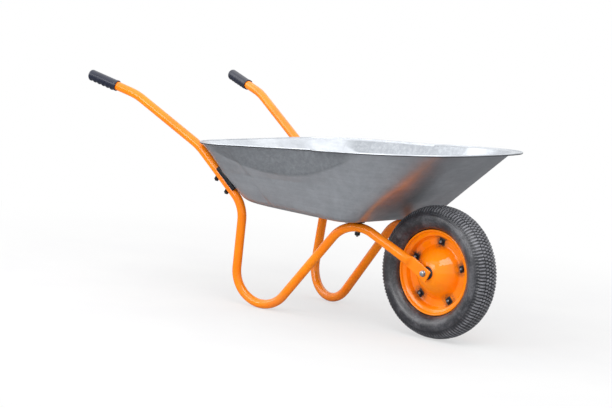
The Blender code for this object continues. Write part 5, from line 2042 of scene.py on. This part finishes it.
    def valve_place(self, along: float) -> Matrix:
        """A place along the valve's stem, with Z towards its open end.

        Args:
            along: The distance from the stem's start.

        Returns:
            The place.
        """
        spoke = Vector((math.cos(self.valve_angle), 0.0, math.sin(self.valve_angle)))
        way = LEFTWARD * math.sin(self.valve_tilt) - spoke * math.cos(self.valve_tilt)
        start = spoke * self.valve_start + LEFTWARD * (
            self.valve_out - (self.valve_start - self.seat) * math.tan(self.valve_tilt))
        return TO_AXLE @ facing(start + way * along, way)

    def bolt_angles(self) -> list[float]:
        """The rim bolts' angles round the axle."""
        return [self.phase + angle for angle in turns(len(self.rim_nut_turns))]

    def build_rims(self) -> None:
        """Make the two rim halves, the left one with its valve hole."""
        nuts = tuple(tuple(self.on_axle(Side.RIGHT, angle, self.bolt_circle).translation)
                     for angle in self.bolt_angles())
        finish = GlossPaint(name="rim_gloss_paint", grimy=nuts).material()
        pattern = Bench.spun("rim_pattern", self.section(), 128)
        Bench.soften(pattern, self.rim_soften)
        for side in Side:
            rim = Bench.copy(pattern, f"rim_pressing_{side.word}", self.on_axle(side))
            if side is Side.LEFT:
                hole = Bench.drill(self.valve_radius + 2.0 * GAP, -0.02, 0.02, 24)
                Bench.set_down(hole, self.valve_place(self.valve_length / 2.0))
                Bench.cut(rim, hole)
                Bench.soften(rim, self.rim_soften)
            hang(rim, Body.WHEEL, finish, "orange_paint", f"rim_half_{side.word}")
        Bench.scrap(pattern)

    def build_rim_bolts(self, looks: Finishes) -> None:
        """Make the five bolts that clamp the rim halves, nuts on the right.

        Args:
            looks: The barrow's finishes.
        """
        stack = 2.0 * self.sheet + GAP
        corner, height = self.rim_nut
        bolt = Fastener.hex_bolt("rim", stack + height + self.rim_bolt_tip - self.shank_spare,
                                 self.rim_bolt, *self.rim_head)
        nut = Fastener.plate_nut("rim", corner, height, self.rim_bolt + GAP,
                                 *self.rim_nut_plate)
        lift = lifted(stack / 2.0 + GAP)
        for index, (turn, angle) in enumerate(zip(self.rim_nut_turns, self.bolt_angles())):
            made = Bench.copy(bolt, f"rim_stud_{index + 1}",
                              self.on_axle(Side.LEFT, angle, self.bolt_circle) @ lift)
            hang(made, Body.WHEEL, looks.zinc, "zinc_fastener", f"rim_bolt_{index + 1}")
            about = Matrix.Rotation(math.radians(turn) + angle, 4, "Z")
            made = Bench.copy(nut, f"rim_hexnut_{index + 1}",
                              self.on_axle(Side.RIGHT, angle, self.bolt_circle) @ lift @ about)
            hang(made, Body.WHEEL, looks.black, "black_fastener", f"rim_nut_{index + 1}")
        Bench.scrap(bolt, nut)

    def build_axle(self, looks: Finishes) -> None:
        """Make the bearings' outer rings and seals, the bushes, the washers and the axle.

        Args:
            looks: The barrow's finishes.
        """
        start, end = self.bearing_place, self.bearing_place + self.bearing_width
        plate_in = self.track - self.plate / 2.0 - GAP
        plate_out = self.track + self.plate / 2.0 + GAP
        face = end + GAP
        seal_in, seal_out = self.bearing_split + 0.0006, self.bearing - 0.0008
        neck = self.bearing_bore - GAP
        disc, thick = self.axle_washer
        lathed = (
            ("bearing_ring", "bearing_outer", Body.WHEEL, looks.bearing, "bearing_steel",
             ring_section(self.bearing_split, self.bearing, start, end, 0.0006)),
            ("bearing_shield", "bearing_seal", Body.WHEEL, looks.rubber, "cap_plastic",
             [(seal_in, face), (seal_out, face), (seal_out, face + self.seal * 0.6),
              (seal_out - 0.0008, face + self.seal),
              (seal_in + 0.0016, face + self.seal * 0.55),
              (seal_in + 0.0006, face + self.seal), (seal_in, face + self.seal)]),
            ("spacer_bush", "axle_bush", Body.FRAME, looks.zinc, "zinc_fastener",
             [(self.axle_hole, plate_in), (self.bush - 0.0005, plate_in),
              (self.bush, plate_in - 0.0005), (self.bush, face), (neck, face),
              (neck, start + 0.001), (self.axle_hole, start + 0.001)]),
            ("flat_washer", "axle_washer", Body.FRAME, looks.zinc, "zinc_fastener",
             ring_section(self.axle_hole, disc, plate_out, plate_out + thick, 0.0004)))
        for name, node, body, look, slot, profile in lathed:
            pattern = Bench.spun(f"{name}_pattern", profile, 48)
            Bench.soften(pattern, 30.0)
            for side in Side:
                made = Bench.copy(pattern, f"{name}_{side.word}", self.on_axle(side))
                hang(made, body, look, slot, f"{node}_{side.word}")
            Bench.scrap(pattern)
        outside = plate_out + thick + GAP
        reach = 2.0 * outside + self.axle_nut_height + self.axle_tip - self.shank_spare
        bolt = Fastener.hex_bolt("axle", reach, self.axle, self.axle_nut, self.axle_head)
        nut = Fastener.nut("axle", self.axle_nut, self.axle_nut_height, self.axle + GAP)
        lift = lifted(outside)
        made = Bench.copy(bolt, "axle_hexbolt", self.on_axle(Side.RIGHT) @ lift)
        hang(made, Body.FRAME, looks.zinc, "zinc_fastener", "axle_bolt")
        made = Bench.copy(nut, "axle_hexnut", self.on_axle(Side.LEFT) @ lift)
        hang(made, Body.FRAME, looks.zinc, "zinc_fastener", "axle_nut")
        Bench.scrap(bolt, nut)

    def build_valve_cap(self, finish: bpy.types.Material) -> None:
        """Make the valve's cap, with its knurl.

        Args:
            finish: Its material.
        """
        inside = self.valve_radius + GAP
        top = self.cap_length
        under = top - self.cap_top
        profile = [(0.0, top), (inside + 0.0004, top), (inside + 0.0011, top - 0.0008),
                   (inside + 0.0014, 0.0), (inside, 0.0), (inside, under), (0.0, under)]
        cap = Bench.spun("valve_dustcap", profile, 2 * self.cap_ribs, closed=False)
        for vertex in cap.data.vertices:
            if math.hypot(vertex.co.x, vertex.co.y) > inside + 0.001:
                turn = math.atan2(vertex.co.y, vertex.co.x)
                pull = 1.0 - 0.05 * (round(turn / (math.pi / self.cap_ribs)) % 2)
                vertex.co.x *= pull
                vertex.co.y *= pull
        Bench.soften(cap, 30.0)
        Bench.set_down(cap, self.valve_place(self.valve_length + GAP - under))
        hang(cap, Body.WHEEL, finish, "cap_plastic", "valve_cap")


class Row(Enum):
    """The rows of blocks across the tread, each with its start round the tyre."""

    NONE = -1
    CENTRE = 0
    MIDDLE = 2
    SHOULDER = 3


@dataclass
class Tyre:
    """The tyre: a turned carcass whose tread blocks stand out of it."""

    rim: Wheel
    width: float = 0.090
    wall: float = 0.005
    pitches: int = 118  # blocks of a row, round the tyre
    columns: int = 5  # steps from one block to the next
    raised: int = 3  # those of them that are raised
    stagger: int = 2  # steps that the right half's blocks come later than the left half's
    depth: float = 0.0026
    groove: float = 0.06
    worn: float = 0.86
    wall_reach: float = 0.040
    wall_steps: int = 16
    zones: tuple[tuple[Row, tuple[Pair, ...]], ...] = (
        (Row.NONE, ((0.0, 0.0), (0.0010, 0.0))),
        (Row.CENTRE, ((0.0016, 1.0), (0.0050, 1.0), (0.0088, 1.0))),
        (Row.NONE, ((0.0095, 0.0), (0.0106, 0.0))),
        (Row.MIDDLE, ((0.0113, 1.0), (0.0150, 1.0), (0.0192, 1.0))),
        (Row.NONE, ((0.0199, 0.0), (0.0211, 0.0))),
        (Row.SHOULDER, ((0.0218, 1.0), (0.0250, 1.0), (0.0285, 1.0), (0.0320, 0.95),
                        (0.0355, 0.85), (0.0390, 0.70), (0.0425, 0.50), (0.0455, 0.28))),
        (Row.NONE, ((0.0462, 0.0), (0.0500, 0.0), (0.0512, 0.10), (0.0520, 0.16),
                    (0.0528, 0.10), (0.0540, 0.0))))

    def carcass(self) -> tuple[list[Vector], list[Vector]]:
        """The carcass: the outer line from bead to crown, and the inner one back.

        Returns:
            Both lines as points of (radius, distance from the tyre's middle).
        """
        half = self.width / 2.0 - 0.0002
        crown = WHEEL_RADIUS - self.depth
        flange = self.rim.flange
        seat = self.rim.half_width
        # From the bead round the rim's flange, up the side wall and over the shoulder.
        outer = [(0.1000, seat - 0.0125), (0.1035, seat - 0.0100), (0.1105, seat - 0.0090),
                 (0.1140, seat - 0.0070), (flange + 0.0006, seat - 0.0046),
                 (flange + 0.0016, seat - 0.0018), (flange + 0.0024, seat + 0.0020),
                 (flange + 0.0042, seat + 0.0060), (flange + 0.0090, half * 0.83),
                 (flange + 0.0190, half * 0.965), (flange + 0.0290, half),
                 (flange + 0.0390, half * 0.94), (crown - 0.0145, half * 0.81),
                 (crown - 0.0072, half * 0.63), (crown - 0.0028, half * 0.40),
                 (crown - 0.0004, half * 0.15), (crown, 0.0)]
        inner = [(crown - 0.0080, 0.0), (crown - 0.0160, half * 0.66),
                 (flange + 0.0300, half - self.wall), (flange + 0.0150, half * 0.88 - self.wall),
                 (0.1120, seat - 0.0115)]
        return ([Vector((r, a, 0.0)) for r, a in outer], [Vector((r, a, 0.0)) for r, a in inner])

    def rows(self) -> list[tuple[Vector, Vector, float, Row]]:
        """The outer line's points from crown to bead.

        Returns:
            For each point its place, its outward normal, its block height and its row.
        """
        outer, _ = self.carcass()
        line = list(reversed(flowing(outer, 24)))
        along = [0.0]
        for before, after in zip(line, line[1:]):
            along.append(along[-1] + (after - before).length)
        zones = [(*stop, row) for row, stops in self.zones for stop in stops]
        zones += [(target, 0.0, Row.NONE)
                  for target in spread(zones[-1][0], along[-1], self.wall_steps)[1:]]
        made = []
        for target, height, row in zones:
            index = max(i for i, length in enumerate(along) if length <= target + 1e-9)
            index = min(index, len(line) - 2)
            part = (target - along[index]) / (along[index + 1] - along[index])
            point = line[index].lerp(line[index + 1], min(part, 1.0))
            run = (line[index + 1] - line[index]).normalized()
            made.append((point, Vector((run.y, -run.x, 0.0)), height, row))
        return made

    def height(self, share: float, row: Row, column: int, side: int) -> float:
        """How far the tread stands out of the carcass at one place.

        Args:
            share: The row's share of the blocks' depth.
            row: The row.
            column: The step round the tyre.
            side: 1 for the left half of the tread, -1 for the right half.

        Returns:
            The height in metres.
        """
        if row is Row.NONE:
            return self.depth * share
        start = row.value + (0 if side > 0 else self.stagger)
        number, place = divmod(column - start, self.columns)
        wear = math.sin(number * 2.4 + row.value * 1.7 + side) ** 2
        worn = self.worn + (1.0 - self.worn) * wear
        return self.depth * share * (worn if place < self.raised else self.groove)

    def build(self, finish: bpy.types.Material) -> None:
        """Make the tyre.

        Args:
            finish: Its material.
        """
        rows = self.rows()
        _, inner = self.carcass()
        across = [(*place, 1) for place in reversed(rows)] + [(*place, -1) for place in rows[1:]]
        inside = flowing(inner, 4)
        backs = [Vector((p.x, -p.y, 0.0)) for p in reversed(inside)][:-1] + inside
        rings, marks = [], []
        for column, turn in enumerate(turns(self.pitches * self.columns)):
            cosine, sine = math.cos(turn), math.sin(turn)
            ring = []
            for point, normal, share, row, side in across:
                rise = self.height(share, row, column, side)
                radius = point.x + normal.x * rise
                y = (point.y + normal.y * rise) * side
                ring.append(Vector((radius * cosine, y, radius * sine)))
                wall = row is Row.NONE and point.x < self.rim.flange + self.wall_reach
                marks.append((ring[-1], 0.5 if wall else rise / self.depth))
            ring += [Vector((p.x * cosine, p.y, p.x * sine)) for p in backs]
            rings.append(ring)
        tyre = Bench.skin("tyre_casing", rings, loop=True)
        Bench.clean(tyre)
        Bench.soften(tyre, 32.0)
        Bench.mark(tyre, "raised", marks)
        Bench.set_down(tyre, TO_AXLE)
        hang(tyre, Body.WHEEL, finish, "tyre_rubber", "tyre")


@dataclass(frozen=True)
class Lamp:
    """A large soft lamp: where it hangs, its width and height, and its share of the power."""

    name: str
    place: Triple
    size: Pair
    share: float

    def light(self, key: float, aim: Vector) -> None:
        """Hang the lamp, whose power is its share of the key's watts, to point at an aim.

        Args:
            key: The studio's power in watts.
            aim: What the lamp points at.
        """
        data = bpy.data.lights.new(self.name, "AREA")
        data.shape = "RECTANGLE"
        data.size, data.size_y = self.size
        data.energy = key * self.share
        lamp = bpy.data.objects.new(self.name, data)
        place = Vector(self.place)
        lamp.matrix_world = facing(place, place - aim)
        bpy.context.scene.collection.objects.link(lamp)


@dataclass
class Studio:
    """The floor, the light and the camera."""

    place: Vector = place_field(4.0595, -5.2280, 1.2185)
    right: Vector = place_field(0.74328, 0.66295, 0.08967)
    back: Vector = place_field(0.65071, -0.74756, 0.13313)
    lens: float = 146.906
    sensor: float = 36.0
    sight: float = 100.0
    ambient: float = 0.58
    key: float = 112.0
    aim: Vector = place_field(0.0, 0.0, 0.3)
    lamps: tuple[Lamp, ...] = (Lamp("softbox_above", (-0.4, 0.2, 3.2), (6.4, 5.6), 0.86),
                               Lamp("softbox_rear", (-2.6, -1.8, 1.8), (2.0, 1.6), 0.24),
                               Lamp("softbox_front", (1.92, -1.34, 2.72), (2.0, 1.5), 0.46),
                               Lamp("softbox_side", (-0.4, -3.3, 1.4), (1.8, 1.4), 0.36))
    floor_size: float = 40.0
    floor_height: float = -0.0004
    floor_tones: tuple[Colour, Colour] = ((0.63, 0.63, 0.64), (0.67, 0.67, 0.67))
    glow_edge: Pair = (0.6, 1.8)
    glow_near: float = 0.58
    # The floor's painted reflection: a dark grey glow that glossy rays see, with a darker painted
    # shadow under the barrow.
    ground: Colour = (0.235, 0.239, 0.250)
    painted_floor_shadow: Colour = (0.125, 0.127, 0.134)
    painted_shadow_edge: Pair = (-0.30, 0.05)
    ground_share: float = 0.78

    def build_camera(self) -> None:
        """Set up the camera at the photograph's viewing angle."""
        up = self.back.cross(self.right).normalized()
        right = up.cross(self.back).normalized()
        data = bpy.data.cameras.new("studio_camera")
        data.lens = self.lens
        data.sensor_width = self.sensor
        data.sensor_fit = "HORIZONTAL"
        data.clip_end = self.sight
        camera = bpy.data.objects.new("studio_camera", data)
        turn = Matrix((right, up, self.back.normalized())).transposed().to_4x4()
        camera.matrix_world = TO_FRAME @ Matrix.Translation(self.place) @ turn
        bpy.context.scene.collection.objects.link(camera)
        bpy.context.scene.camera = camera

    @staticmethod
    def looking(nodes: Nodes, ray: str) -> Value:
        """1 for one kind of light path, such as the camera's own, and 0 for the rest."""
        return nodes.reading("ShaderNodeLightPath", f"Is {ray} Ray")

    def build_world(self) -> None:
        """Make the white surroundings, which light the object less than they show."""
        world = bpy.data.worlds.new("studio_world")
        world.use_nodes = True
        bpy.context.scene.world = world
        nodes = Nodes(world.node_tree)
        background = world.node_tree.nodes["Background"]
        background.inputs["Color"].default_value = (1.0, 1.0, 1.0, 1.0)
        seen = nodes.maths("ADD", self.looking(nodes, "Camera") + self.looking(nodes, "Glossy"),
                           self.looking(nodes, "Transmission"), limit=True)
        nodes.feed(background.inputs["Strength"], self.ambient + seen * (1.0 - self.ambient))

    @staticmethod
    def shine(paint: Paint, share: Value, under: bpy.types.NodeSocket, colour: Any
              ) -> bpy.types.NodeSocket:
        """A surface that glows in a colour for a share of the light paths.

        Args:
            paint: The surface's nodes.
            share: How much of the glow is mixed in.
            under: The shader without the glow.
            colour: The glow's colour.

        Returns:
            The mixed shader.
        """
        glow = paint.node("ShaderNodeEmission", {}, {"Color": colour, "Strength": 1.0})
        return paint.node("ShaderNodeMixShader", {},
                          {0: share, 1: under, 2: glow.outputs[0]}).outputs[0]

    def build_floor(self) -> None:
        """Make the pale floor, which keeps the object's shadow.

        The camera sees it go over into the white surroundings. Glossy rays see it glow in a
        painted dark grey, a painted reflection, which grows darker towards the barrow's middle and
        its left as a painted shadow.
        """
        bpy.ops.object.select_all(action="DESELECT")
        bpy.ops.mesh.primitive_plane_add(size=self.floor_size,
                                         location=(0.0, 0.0, self.floor_height))
        floor = bpy.context.object
        floor.name = "studio_floor"
        bpy.ops.object.transform_apply(location=True, rotation=True, scale=True)
        paint = Paint("studio_floor_white")
        colour = paint.mix(paint.band(paint.noise(3.0), 0.3, 0.7), *self.floor_tones)
        paint.dress({"Base Color": colour, "Roughness": 0.9, "Specular IOR Level": 0.1})
        far = paint.reading("ShaderNodeVectorMath", "Value", {"operation": "LENGTH"},
                            {0: paint.coordinates})
        glow = self.looking(paint, "Camera") * paint.band(far, *self.glow_edge, self.glow_near)
        surface = self.shine(paint, glow, paint.shader.outputs[0], (1.0, 1.0, 1.0))
        # Painted shadow in the floor's painted reflection, darker towards the barrow's middle and
        # left.
        below = paint.band(paint.axis("Y"), *self.painted_shadow_edge)
        surface = self.shine(paint, self.looking(paint, "Glossy") * self.ground_share, surface,
                             paint.mix(below, self.ground, self.painted_floor_shadow))
        paint.feed(paint.tree.nodes["Material Output"].inputs["Surface"], surface)
        floor.data.materials.append(paint.material)

    def build(self) -> None:
        """Set up the whole studio."""
        bpy.context.scene.view_settings.view_transform = "Standard"
        self.build_camera()
        for lamp in self.lamps:
            lamp.light(self.key, self.aim)
        self.build_world()
        self.build_floor()


def dress_hidden_nodes(looks: Finishes) -> None:
    """Give the CAD nodes that stay their finishes.

    Args:
        looks: The barrow's finishes.
    """
    wanted = {"inner_tube": looks.rubber, "hub_sleeve": looks.zinc,
              "bearing_inner_left": looks.bearing, "bearing_inner_right": looks.bearing}
    for name, look in wanted.items():
        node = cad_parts[name]
        for slot in node.material_slots:
            slot.material = look
        log.info("%s: CAD node, dressed", name)


def main() -> None:
    """Build the barrow's looks and the studio."""
    logging.basicConfig(level=logging.INFO, format="%(name)s: %(message)s")
    looks = Finishes()
    tube = FrameTube()
    tube.build(looks.orange)
    Grip(tube).build(looks.grip)
    tray = Tray(tube)
    tray.build(looks.sheet)
    mounting = Mounting(tube, tray)
    mounting.build_saddles(looks.black)
    mounting.build_pads(looks.black)
    mounting.build_fasteners(looks)
    wheel = Wheel()
    wheel.build_rims()
    wheel.build_rim_bolts(looks)
    wheel.build_axle(looks)
    wheel.build_valve_cap(looks.black)
    Tyre(wheel).build(looks.tyre)
    dress_hidden_nodes(looks)
    Studio().build()


if __name__ == "__main__":
    main()
